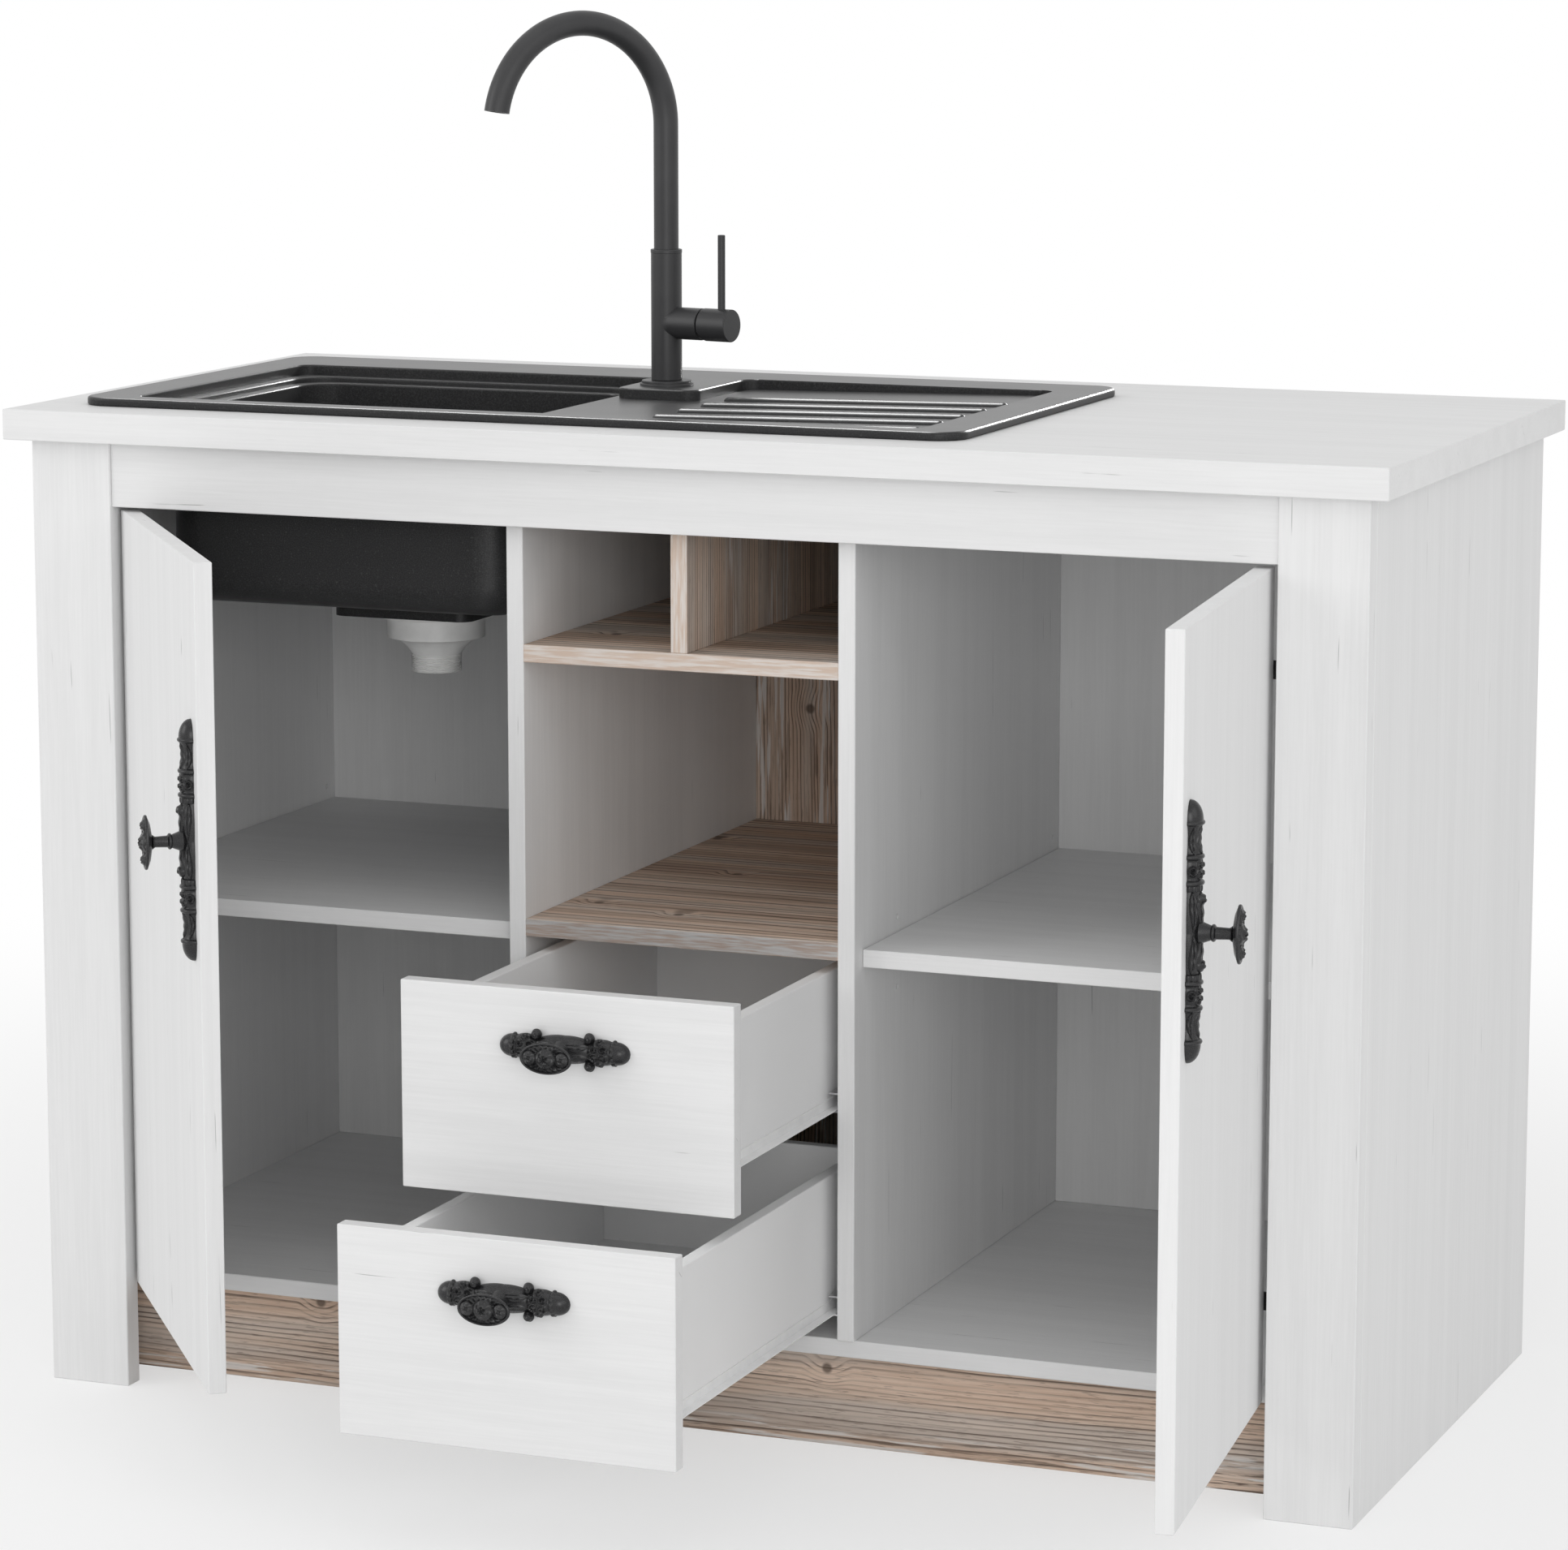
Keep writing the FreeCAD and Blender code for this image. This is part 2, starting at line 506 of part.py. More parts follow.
def make_waste():
    """Drain flange in the bowl, lift-out strainer basket, and the cup with its outlet below."""
    sleeve_bottom = BOSS_UNDER - WASTE_FLANGE_THICK - FLANGE_PLAY
    flange = turned([(SLEEVE_RADIUS, sleeve_bottom), (SLEEVE_RADIUS, FLANGE_UNDER),
                     (DRAIN_SEAT_RADIUS - FLANGE_PLAY, FLANGE_UNDER),
                     (DRAIN_SEAT_RADIUS - FLANGE_PLAY, FLANGE_TOP), (SLEEVE_BORE, FLANGE_TOP)])
    bore = Part.makeCylinder(SLEEVE_BORE, FLANGE_TOP - sleeve_bottom, Vector(0, 0, sleeve_bottom))
    parts["waste_flange"] = place(flange.cut(bore), DRAIN_X, DRAIN_Y, 0)

    lip = BOSS_UNDER - WASTE_FLANGE_THICK
    shoulder = lip - WASTE_BODY_HEIGHT
    neck = shoulder - WASTE_CONE_HEIGHT
    outlet = neck - OUTLET_LENGTH
    outer = turned([(OUTLET_RADIUS, outlet), (OUTLET_RADIUS, neck), (WASTE_RADIUS, shoulder),
                    (WASTE_RADIUS, lip), (WASTE_FLANGE_RADIUS, lip), (WASTE_FLANGE_RADIUS, BOSS_UNDER)])
    neck_bore = OUTLET_RADIUS - WASTE_WALL
    cup_bore = WASTE_RADIUS - WASTE_WALL
    inner = turned([(neck_bore, outlet), (neck_bore, neck + WASTE_WALL), (cup_bore, shoulder + WASTE_WALL),
                    (cup_bore, BOSS_UNDER)])
    parts["waste_body"] = place(outer.cut(inner), DRAIN_X, DRAIN_Y, 0)

    cup_radius = SLEEVE_BORE - STRAINER_PLAY
    cup_bottom = FLANGE_TOP - STRAINER_DEPTH
    lip_top = FLANGE_TOP + STRAINER_WALL
    lip_radius = SLEEVE_BORE + STRAINER_LIP
    basket = turned([(cup_radius, cup_bottom), (cup_radius, FLANGE_TOP), (lip_radius, FLANGE_TOP),
                     (lip_radius, lip_top)])
    hollow = rod(cup_radius - STRAINER_WALL, UP * (cup_bottom + STRAINER_WALL), UP * lip_top)
    knob = rod(STRAINER_KNOB_RADIUS, UP * cup_bottom, UP * (FLANGE_TOP + STRAINER_KNOB_HEIGHT))
    basket = basket.cut(hollow).fuse(knob)
    for index in range(STRAINER_HOLES):
        turn = 2 * math.pi * index / STRAINER_HOLES
        middle = Vector(math.cos(turn), math.sin(turn), 0) * (cup_radius / 2)
        basket = basket.cut(rod(STRAINER_HOLE_RADIUS, middle + UP * cup_bottom, middle + UP * FLANGE_TOP))
    parts["basket_strainer"] = place(basket, DRAIN_X, DRAIN_Y, 0)


def make_tap():
    """Base ring, body with side arm and threaded shank, lock nut, swivel spout and lever."""
    foot = Vector(TAP_X, TAP_Y, RIM_TOP)
    body_bottom = foot + UP * TAP_RING_HEIGHT
    body_top = body_bottom + UP * TAP_BODY_HEIGHT
    shank_bottom = Vector(TAP_X, TAP_Y, SHANK_BOTTOM)
    ring = rod(TAP_RING_RADIUS, foot, body_bottom)
    parts["tap_base_ring"] = ring.cut(rod(SHANK_RADIUS + NUT_CLEARANCE, foot, body_bottom))
    nut_top = Vector(TAP_X, TAP_Y, TRAY_UNDER)
    nut = rod(NUT_RADIUS, nut_top - UP * NUT_HEIGHT, nut_top)
    parts["tap_nut"] = nut.cut(rod(SHANK_RADIUS + NUT_CLEARANCE, nut_top - UP * NUT_HEIGHT, nut_top))

    turn = math.radians(LEVER_TURN)
    side = Vector(math.cos(turn), math.sin(turn), 0)
    tilt_axis = UP.cross(side)
    hub = body_bottom + UP * LEVER_RISE
    arm_end = hub + side * SIDE_ARM_REACH
    body = rod(TAP_BODY_RADIUS, body_bottom, body_top)
    body = body.fuse([rod(SHANK_RADIUS, shank_bottom, body_bottom), rod(SIDE_ARM_RADIUS, hub, arm_end)])
    socket = rod(SPOUT_RADIUS + SPOUT_CLEARANCE, body_top - UP * SPOUT_SOCKET, body_top)
    stem_seat = rod(CORE_STEM_RADIUS + CORE_CLEARANCE, arm_end - side * CORE_STEM_SEAT, arm_end)
    tail_bore = rod(SHANK_BORE, shank_bottom, body_bottom)
    parts["tap_body"] = body.cut([socket, stem_seat, tail_bore])

    core_center = hub + side * CORE_REACH
    core = Part.makeSphere(CORE_RADIUS, core_center)
    core = core.fuse(rod(CORE_STEM_RADIUS, arm_end - side * CORE_STEM_SEAT, core_center))
    cap_bore = CORE_RADIUS + CAP_BORE_CLEARANCE
    pin_ends = [core_center + tilt_axis * (way * (cap_bore + TILT_PIN_SEAT)) for way in (-1, 1)]
    parts["mixer_core"] = core.cut(rod(TILT_PIN_RADIUS + CORE_CLEARANCE, *pin_ends))

    cap_start = arm_end + side * CAP_GAP
    cap_end = hub + side * CAP_END
    cap = rod(CAP_RADIUS, cap_start, cap_end)
    cap_rims = [edge for edge in cap.Edges if edge.Curve.TypeId == "Part::GeomCircle"]
    cap = cap.makeFillet(CAP_ROUND, cap_rims)
    tilt_room = rod(2 * CAP_RADIUS, hub, arm_end + side * CAP_TILT_GAP)
    tilt_room.rotate(core_center, tilt_axis, -LEVER_TILT)
    cap = cap.cut([rod(cap_bore, cap_start, core_center + side * cap_bore), tilt_room])
    rod_axis = hub + side * ROD_REACH
    rod_foot = rod_axis + UP * (CAP_RADIUS - ROD_SEAT)
    rod_top = rod_axis + UP * (CAP_RADIUS + ROD_LENGTH)
    cap = cap.cut(rod(ROD_RADIUS + ROD_CLEARANCE, rod_foot, rod_top))
    parts["lever_cap"] = cap.fuse(rod(TILT_PIN_RADIUS, *pin_ends))
    parts["lever_rod"] = rod(ROD_RADIUS, rod_foot, rod_top)

    spout_turn = math.radians(SPOUT_TURN)
    reach = Vector(-math.cos(spout_turn), -math.sin(spout_turn), 0)
    bend = body_top + UP * SPOUT_RISE
    arch_center = bend + reach * SPOUT_ARCH
    arch_axis = UP.cross(reach)
    start = body_top - UP * SPOUT_SOCKET
    solids = []
    for radius in (SPOUT_RADIUS, SPOUT_BORE):
        disc = Part.Face(Part.Wire(Part.makeCircle(radius, bend, UP)))
        solids.append(rod(radius, start, bend).fuse(disc.revolve(arch_center, arch_axis, SPOUT_SWEEP)))
    parts["spout"] = solids[0].cut(solids[1]).removeSplitter()
    sweep = math.radians(SPOUT_SWEEP)
    mouth = arch_center - reach * (SPOUT_ARCH * math.cos(sweep)) + UP * (SPOUT_ARCH * math.sin(sweep))
    inward = reach * -math.sin(sweep) - UP * math.cos(sweep)
    insert = rod(SPOUT_BORE - AERATOR_PLAY, mouth, mouth + inward * AERATOR_LENGTH)
    parts["aerator"] = insert.cut(rod(SPOUT_BORE - AERATOR_WALL, mouth, mouth + inward * AERATOR_LENGTH))


def half_plate(stations, scrolls, tip_radius, tip_length):
    """Half-round turned bar along Z with a flat back in the plane Y = 0 and a domed tip at each end."""
    end = stations[-1][1]
    upper = turned(stations)
    dome = Part.makeSphere(tip_radius)
    stretch = FreeCAD.Matrix()
    stretch.scale(1, 1, tip_length / tip_radius)
    bar = upper.fuse([place(dome.transformGeometry(stretch), 0, 0, end), *scrolls])
    bar = bar.fuse(bar.mirror(ORIGIN, UP))
    reach = end + tip_length
    depth = 2 * max(radius for radius, height in stations)
    front = slab(-depth, depth, -depth, 0, -reach, reach)
    return bar.common(front)


def door_plate():
    """Long back plate of a door handle: middle with a scroll boss, ringed collar, barrel, neck and tip."""
    ring_in = DOOR_HANDLE_MIDDLE + DOOR_HANDLE_COLLAR
    barrel_in = ring_in + HANDLE_RING_WIDTH
    barrel_out = barrel_in + DOOR_HANDLE_BARREL
    neck_in = barrel_out + HANDLE_RING_WIDTH
    neck_out = neck_in + DOOR_HANDLE_NECK
    tip_in = neck_out + HANDLE_RING_WIDTH
    stations = [(DOOR_HANDLE_RADIUS, 0), (DOOR_HANDLE_RADIUS, DOOR_HANDLE_MIDDLE),
                (HANDLE_COLLAR_RADIUS, DOOR_HANDLE_MIDDLE), (HANDLE_COLLAR_RADIUS, ring_in),
                (HANDLE_RING_RADIUS, ring_in), (HANDLE_RING_RADIUS, barrel_in),
                (HANDLE_COLLAR_RADIUS, barrel_in), (HANDLE_BARREL_RADIUS, (barrel_in + barrel_out) / 2),
                (HANDLE_COLLAR_RADIUS, barrel_out), (HANDLE_RING_RADIUS, barrel_out),
                (HANDLE_RING_RADIUS, neck_in), (HANDLE_COLLAR_RADIUS, neck_in),
                (HANDLE_NECK_RADIUS, (neck_in + neck_out) / 2), (HANDLE_COLLAR_RADIUS, neck_out),
                (HANDLE_RING_RADIUS, neck_out), (HANDLE_RING_RADIUS, tip_in)]
    scroll = Part.makeSphere(DOOR_SCROLL_RADIUS, Vector(0, -DOOR_SCROLL_OUT, DOOR_SCROLL_ALONG))
    return half_plate(stations, [scroll], DOOR_HANDLE_RADIUS, DOOR_HANDLE_TIP)


def drawer_plate():
    """Short back plate of a drawer handle: saddle with four scrolls, barrels and ball tips."""
    barrel_out = DRAWER_HANDLE_MIDDLE + DRAWER_HANDLE_BARREL
    tip_in = barrel_out + HANDLE_RING_WIDTH
    stations = [(DRAWER_HANDLE_RADIUS, 0), (HANDLE_NECK_RADIUS, DRAWER_HANDLE_MIDDLE),
                (HANDLE_BARREL_RADIUS, (DRAWER_HANDLE_MIDDLE + barrel_out) / 2),
                (HANDLE_NECK_RADIUS, barrel_out), (HANDLE_COLLAR_RADIUS, barrel_out),
                (HANDLE_COLLAR_RADIUS, tip_in)]
    scrolls = [rod(DRAWER_SCROLL_RADIUS, Vector(across, -DRAWER_SCROLL_OUT, DRAWER_HANDLE_MIDDLE),
                   Vector(across, 0, DRAWER_HANDLE_MIDDLE))
               for across in (-DRAWER_SCROLL_ACROSS, DRAWER_SCROLL_ACROSS)]
    return half_plate(stations, scrolls, DRAWER_BALL_RADIUS, DRAWER_HANDLE_TIP)


def handle_knob():
    """Knob whose stem runs from the door face to an oval head, longest along Z."""
    head_start = KNOB_REACH - KNOB_DOME - KNOB_THICK
    collar_end = HANDLE_RING_RADIUS + COLLAR_LENGTH
    stem = turned([(STEM_RADIUS, 0), (STEM_RADIUS, HANDLE_RING_RADIUS), (COLLAR_RADIUS, HANDLE_RING_RADIUS),
                   (COLLAR_RADIUS, collar_end), (STEM_RADIUS, collar_end),
                   (STEM_RADIUS, head_start - COLLAR_LENGTH), (COLLAR_RADIUS, head_start)])
    disc = Part.makeCylinder(KNOB_HALF_LENGTH, KNOB_THICK, UP * head_start)
    bulge = (KNOB_HALF_LENGTH ** 2 + KNOB_DOME ** 2) / (2 * KNOB_DOME)
    dome_end = head_start + KNOB_THICK
    dome = Part.makeSphere(bulge, UP * (KNOB_REACH - bulge))
    dome = dome.common(Part.makeCylinder(KNOB_HALF_LENGTH, KNOB_DOME, UP * dome_end))
    narrow = FreeCAD.Matrix()
    narrow.scale(1, KNOB_HALF_WIDTH / KNOB_HALF_LENGTH, 1)
    knob = stem.fuse(disc.fuse(dome).transformGeometry(narrow)).removeSplitter()
    knob.rotate(ORIGIN, Vector(0, 1, 0), 90)
    knob.rotate(ORIGIN, UP, -90)
    return knob


def handle_parts(plate, x, z, level):
    """Plate and knob set on a closed front, upright or level."""
    knob = handle_knob()
    plate = plate.cut(rod(STEM_RADIUS + STEM_CLEARANCE, Vector(0, -HANDLE_RING_RADIUS, 0), ORIGIN))
    for piece in (plate, knob):
        if level:
            piece.rotate(ORIGIN, Vector(0, 1, 0), 90)
        piece.translate(Vector(x, FRONT_FACE, z))
    return plate, knob


def hinge_cup(height):
    """Cup, flange and pin of one hinge in the closed left door."""
    edge = -DOOR_OUTER
    center = edge + CUP_FROM_EDGE
    cup_end = FRONT_BACK_FACE - CUP_DEPTH
    cup = rod(CUP_RADIUS, Vector(center, FRONT_BACK_FACE, height), Vector(center, cup_end, height))
    flange_face = FRONT_BACK_FACE + CUP_FLANGE
    flange = slab(center - CUP_FLANGE_WIDTH / 2, center + CUP_FLANGE_WIDTH / 2,
                  FRONT_BACK_FACE, flange_face,
                  height - CUP_FLANGE_HEIGHT / 2, height + CUP_FLANGE_HEIGHT / 2)
    mouth_start = edge + CUP_MOUTH_FROM_EDGE
    mouth = slab(mouth_start, mouth_start + CUP_MOUTH_WIDTH, cup_end + CUP_FLOOR, flange_face,
                 height - CUP_MOUTH_HALF, height + CUP_MOUTH_HALF)
    pin_reach = UP * (CUP_MOUTH_HALF + CUP_FLOOR)
    axis = Vector(-PIVOT_X, PIVOT_Y, height)
    return cup.fuse(flange).cut(mouth).fuse(rod(HINGE_PIN_RADIUS, axis - pin_reach, axis + pin_reach))


def hinge_arm(height):
    """Mounting plate behind the left post with the cranked arm that carries the door."""
    low = height - ARM_HEIGHT / 2
    high = height + ARM_HEIGHT / 2
    axis = Vector(-PIVOT_X, PIVOT_Y, low)
    crank = axis.x + DOOR_SWING
    behind = axis.y + DOOR_SWING
    plate_right = -POST_IN - ARM_PLATE_GAP
    eye = rod(HINGE_EYE_RADIUS, axis, axis + UP * ARM_HEIGHT)
    tongue = slab(axis.x, crank + ARM_THICK, axis.y - ARM_THICK / 2, axis.y + ARM_THICK / 2, low, high)
    front_leg = slab(crank, crank + ARM_THICK, axis.y - ARM_THICK / 2, behind + ARM_THICK, low, high)
    plate_left = plate_right - ARM_PLATE_LENGTH
    back_leg = slab(plate_left, crank + ARM_THICK, behind, behind + ARM_THICK, low, high)
    block = slab(plate_left, plate_right, CARCASS_FRONT, behind + ARM_THICK, low, high)
    plate = slab(plate_left, plate_right, CARCASS_FRONT, CARCASS_FRONT + ARM_THICK,
                 height - ARM_PLATE_HEIGHT / 2, height + ARM_PLATE_HEIGHT / 2)
    arm = eye.fuse([tongue, front_leg, back_leg, block, plate])
    pin_bore = rod(HINGE_PIN_RADIUS + HINGE_PIN_CLEARANCE, axis, axis + UP * ARM_HEIGHT)
    return arm.cut(pin_bore).removeSplitter()


def make_door(name, side, opened):
    """One door with hinges and handle, swung open about its hinge pins."""
    panel = board(-DOOR_OUTER, -DOOR_INNER, FRONT_FACE, FRONT_BACK_FACE, FRONT_BOTTOM, DOOR_TOP)
    for height in HINGE_HEIGHTS:
        center = Vector(CUP_FROM_EDGE - DOOR_OUTER, FRONT_BACK_FACE, height)
        panel = panel.cut(rod(CUP_RADIUS + CUP_CLEARANCE, center - Vector(0, CUP_DEPTH, 0), center))
    handle_x = -DOOR_INNER - DOOR_HANDLE_FROM_EDGE
    plate, knob = handle_parts(door_plate(), handle_x, DOOR_HANDLE_HEIGHT, False)
    cups = Part.makeCompound([hinge_cup(height) for height in HINGE_HEIGHTS])
    moving = {"door": panel, "hinge_cups": cups, "handle_plate": plate, "handle_knob": knob}
    for piece_name, piece in moving.items():
        piece.rotate(Vector(-PIVOT_X, PIVOT_Y, 0), UP, -opened)
        parts[name + "_" + piece_name] = mirrored(piece, side)
    arms = Part.makeCompound([hinge_arm(height) for height in HINGE_HEIGHTS])
    parts[name + "_hinge_arms"] = mirrored(arms, side)


def runner_pair(profile, front, length):
    """Left and right extrusions of one runner section of (distance from the middle, height) points."""
    pair = []
    for side in (-1, 1):
        points = [Vector(side * x, front, z) for x, z in profile]
        pair.append(Part.Face(Part.makePolygon(points + points[:1])).extrude(Vector(0, length, 0)))
    return Part.makeCompound(pair)


def make_drawer(name, bottom, pulled):
    """One drawer box with front, runners and handle, pulled out along -Y."""
    box_bottom = bottom + DRAWER_BOX_RISE
    front_top = bottom + DRAWER_FRONT_HEIGHT
    box_top = front_top - DRAWER_BOX_DROP
    inner = BOX_HALF - DRAWER_BOARD
    floor_under = box_bottom + DRAWER_BOTTOM_RISE
    floor = slab(-inner - DRAWER_GROOVE, inner + DRAWER_GROOVE, FRONT_BACK_FACE, BOX_END - DRAWER_BOARD,
                 floor_under, floor_under + DRAWER_BOTTOM_THICK)
    left_side = board(-BOX_HALF, -inner, FRONT_BACK_FACE, BOX_END, box_bottom, box_top)
    right_side = board(inner, BOX_HALF, FRONT_BACK_FACE, BOX_END, box_bottom, box_top)
    moving = {"front": board(-DRAWER_HALF, DRAWER_HALF, FRONT_FACE, FRONT_BACK_FACE, bottom, front_top),
              "left_side": left_side.cut(floor), "right_side": right_side.cut(floor),
              "back": board(-inner, inner, BOX_END - DRAWER_BOARD, BOX_END, box_bottom, box_top),
              "bottom": floor}

    rail_bottom = box_bottom - RUNNER_RISE
    rail_top = rail_bottom + RUNNER_HEIGHT
    lip = BOX_HALF + RUNNER_THICK + RUNNER_CLEARANCE
    web = BAY_IN - RUNNER_THICK
    channel = [(BAY_IN, rail_bottom), (BAY_IN, rail_top), (lip, rail_top), (lip, rail_top - RUNNER_THICK),
               (web, rail_top - RUNNER_THICK), (web, rail_bottom + RUNNER_THICK),
               (lip, rail_bottom + RUNNER_THICK), (lip, rail_bottom)]
    rail_front = CARCASS_FRONT + RUNNER_SETBACK
    rail_length = BOX_END - RUNNER_SHORTFALL - rail_front
    parts[name + "_runners"] = runner_pair(channel, rail_front, rail_length)
    tongue_bottom = rail_bottom + RUNNER_THICK + RUNNER_CLEARANCE
    tongue_top = rail_top - RUNNER_THICK - RUNNER_CLEARANCE
    tongue_tip = web - RUNNER_CLEARANCE
    strip_top = rail_top + RUNNER_RISE
    tongue = [(BOX_HALF, tongue_bottom), (BOX_HALF, strip_top), (BOX_HALF + RUNNER_THICK, strip_top),
              (BOX_HALF + RUNNER_THICK, tongue_top), (tongue_tip, tongue_top), (tongue_tip, tongue_bottom)]
    moving["slides"] = runner_pair(tongue, rail_front, rail_length)

    plate, knob = handle_parts(drawer_plate(), 0, bottom + DRAWER_HANDLE_RISE, True)
    moving.update({"handle_plate": plate, "handle_knob": knob})
    for piece_name, piece in moving.items():
        parts[name + "_" + piece_name] = place(piece, 0, -pulled, 0)


make_carcass()
make_center_bay()
make_shelves()
make_worktop()
make_sink()
make_waste()
make_tap()
make_door("left", -1, LEFT_DOOR_ANGLE)
make_door("right", 1, RIGHT_DOOR_ANGLE)
make_drawer("lower_drawer", FRONT_BOTTOM, LOWER_DRAWER_OUT)
make_drawer("upper_drawer", FRONT_BOTTOM + DRAWER_FRONT_HEIGHT + FRONT_REVEAL, UPPER_DRAWER_OUT)

os.makedirs("parts", exist_ok=True)
for node, shape in parts.items():
    shape.exportStep("parts/" + node + ".step")
    state = "valid" if shape.isValid() else "INVALID"
    print(node, len(shape.Solids), "solids", round(shape.Volume), "mm3", state)
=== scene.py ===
"""Looks of the sink base cabinet: finishes for the boards, carved handles, sink, waste, tap and stage."""
import json
import math

import bmesh
import bpy
from bpy.props import FloatProperty, FloatVectorProperty, PointerProperty
from mathutils import Matrix, Vector


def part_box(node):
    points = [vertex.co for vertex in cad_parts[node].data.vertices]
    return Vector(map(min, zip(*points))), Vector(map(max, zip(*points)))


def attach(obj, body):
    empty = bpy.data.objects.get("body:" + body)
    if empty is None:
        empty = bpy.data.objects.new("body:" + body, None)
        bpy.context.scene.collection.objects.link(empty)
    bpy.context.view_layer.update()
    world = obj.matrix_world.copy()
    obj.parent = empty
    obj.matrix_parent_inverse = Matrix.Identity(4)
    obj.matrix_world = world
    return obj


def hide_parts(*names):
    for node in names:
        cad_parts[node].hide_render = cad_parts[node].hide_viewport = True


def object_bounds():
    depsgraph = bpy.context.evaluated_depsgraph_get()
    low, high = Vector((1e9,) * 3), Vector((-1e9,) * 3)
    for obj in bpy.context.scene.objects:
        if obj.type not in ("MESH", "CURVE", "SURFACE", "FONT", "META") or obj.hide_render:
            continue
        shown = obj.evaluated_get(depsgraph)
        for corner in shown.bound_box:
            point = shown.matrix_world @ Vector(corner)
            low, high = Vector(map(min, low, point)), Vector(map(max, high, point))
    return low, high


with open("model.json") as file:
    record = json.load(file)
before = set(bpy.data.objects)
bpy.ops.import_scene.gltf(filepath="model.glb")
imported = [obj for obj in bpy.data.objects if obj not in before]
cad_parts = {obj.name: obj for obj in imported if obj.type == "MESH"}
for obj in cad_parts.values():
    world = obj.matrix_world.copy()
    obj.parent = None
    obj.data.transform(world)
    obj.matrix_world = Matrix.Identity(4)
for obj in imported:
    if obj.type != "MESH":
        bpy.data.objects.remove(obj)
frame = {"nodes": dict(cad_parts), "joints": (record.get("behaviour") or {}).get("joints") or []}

bl_info = {
    "name": "Sink base cabinet",
    "version": (1, 0, 0),
    "blender": (4, 5, 0),
    "location": "3D View > Sidebar > Cabinet",
    "description": "Dresses the packed frame of a sink base cabinet with finishes and detailed fittings",
    "category": "Object",
}

CAD_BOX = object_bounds()
JOINTS = {joint["name"]: joint for joint in frame["joints"]}
MM = 0.001
X_AXIS, Y_AXIS, Z_AXIS = range(3)
WHITE = (1.0, 1.0, 1.0, 1.0)
PHOTO_WIDTH = 1932
SENSOR = 36.0
FAR_CLIP = 100.0
FINE_TURN, ARM_TURN, STEM_TURN, SMALL_TURN = 96, 72, 48, 40
SAME_POINT, SAME_CAD_POINT = 1e-7, 1e-6
CREASE, FINE_CREASE = math.radians(40), math.radians(30)
FLAT_BELOW, SHARP_ABOVE = math.radians(0.5), math.radians(35)
ROOM_TO_WIDTH = 1.5

UPRIGHT_WHITE = ("left_side_panel", "right_side_panel", "left_post", "right_post", "left_divider",
                 "right_divider", "left_back_panel", "right_back_panel", "left_door", "right_door")
LEVEL_WHITE = ("worktop", "front_rail", "base_panel", "rear_base_rail", "left_shelf", "right_shelf",
               "upper_drawer_front", "lower_drawer_front")
# Knots by their two places on a board's face, and worn bands by their place across the grain
PLINTH_KNOTS = ((0.123, 0.071), (-0.387, 0.081))
PLINTH_WEAR = 0.016
BACK_KNOTS = ((-0.093, 0.588), (0.04, 0.54))
BACK_WEAR = (-0.134, -0.114, -0.07)
DIVIDER_WEAR = (-0.36, -0.33, -0.17)
CUBBY_KNOTS = ((-0.099, -0.485),)
NICHE_KNOTS = ((-0.1445, -0.137), (-0.12, -0.479), (-0.055, -0.3035), (-0.03, -0.505))

STEEL_NODES = ("shelf_pins", "left_hinge_cups", "right_hinge_cups", "upper_drawer_runners",
               "lower_drawer_runners")
# Hinge arms get a near-black steel: painted shade, standing in for the shade and dark reflection in the gap
# beside the doors
PAINTED_SHADE_HINGE_NODES = ("left_hinge_arms", "right_hinge_arms")
BRASS_NODES = ("tap_nut", "mixer_core")
DRAWERS = ("upper_drawer", "lower_drawer")
RIDGE_STEPS, CUP_STEPS, CUP_FLARE, CUP_RISE = 6, 12, 0.8, 1.2
ROD_TIP, ARM_SWELL = 0.25, (0.8, 1.2)

# Lights by their place and the length of a side
SOFT_LIGHTS = {"left": ((-3.6, -3.2, 2.6), 2.6), "right": ((3.8, -2.6, 2.4), 2.6),
               "front": ((1.9, -4.6, 1.3), 2.0), "top": ((0.2, -1.2, 4.2), 3.0)}
GLOSS_LIGHTS = {"gloss": ((-1.6, 0.9, 4.5), 1.8), "rim": ((0.6, 3.4, 2.3), 0.8)}
FLOOR_RADIUS = 60.0
FLOOR_MIDDLE = (0.0, -0.4, 0.0)
FADE_START, FADE_END = 0.8, 2.6
NEAR_WHITE = 0.55


# Shader maths

# Places of the colour sockets on a Mix node
MIX_FACTOR, MIX_FIRST, MIX_SECOND, MIX_RESULT = 0, 6, 7, 2


def rgb(color):
    return (*color, 1.0)


class Signal:
    """One shader socket; Python maths on signals adds Math nodes."""

    def __init__(self, shader, socket):
        self.shader = shader
        self.socket = socket

    def math(self, operation, first, second=0.0):
        return self.shader.node("ShaderNodeMath", {"operation": operation}, {0: first, 1: second})

    def __add__(self, other):
        return self.math("ADD", self, other)

    def __sub__(self, other):
        return self.math("SUBTRACT", self, other)

    def __mul__(self, other):
        return self.math("MULTIPLY", self, other)

    def __rsub__(self, other):
        return self.math("SUBTRACT", other, self)

    __radd__ = __add__
    __rmul__ = __mul__

    def __abs__(self):
        return self.math("ABSOLUTE", self)

    def fraction(self):
        return self.math("FRACT", self)

    def rise(self, low, high):
        """0 below low, 1 above high and smooth between."""
        return self.shader.node("ShaderNodeMapRange", {"interpolation_type": "SMOOTHSTEP"},
                                {"Value": self, "From Min": low, "From Max": high})


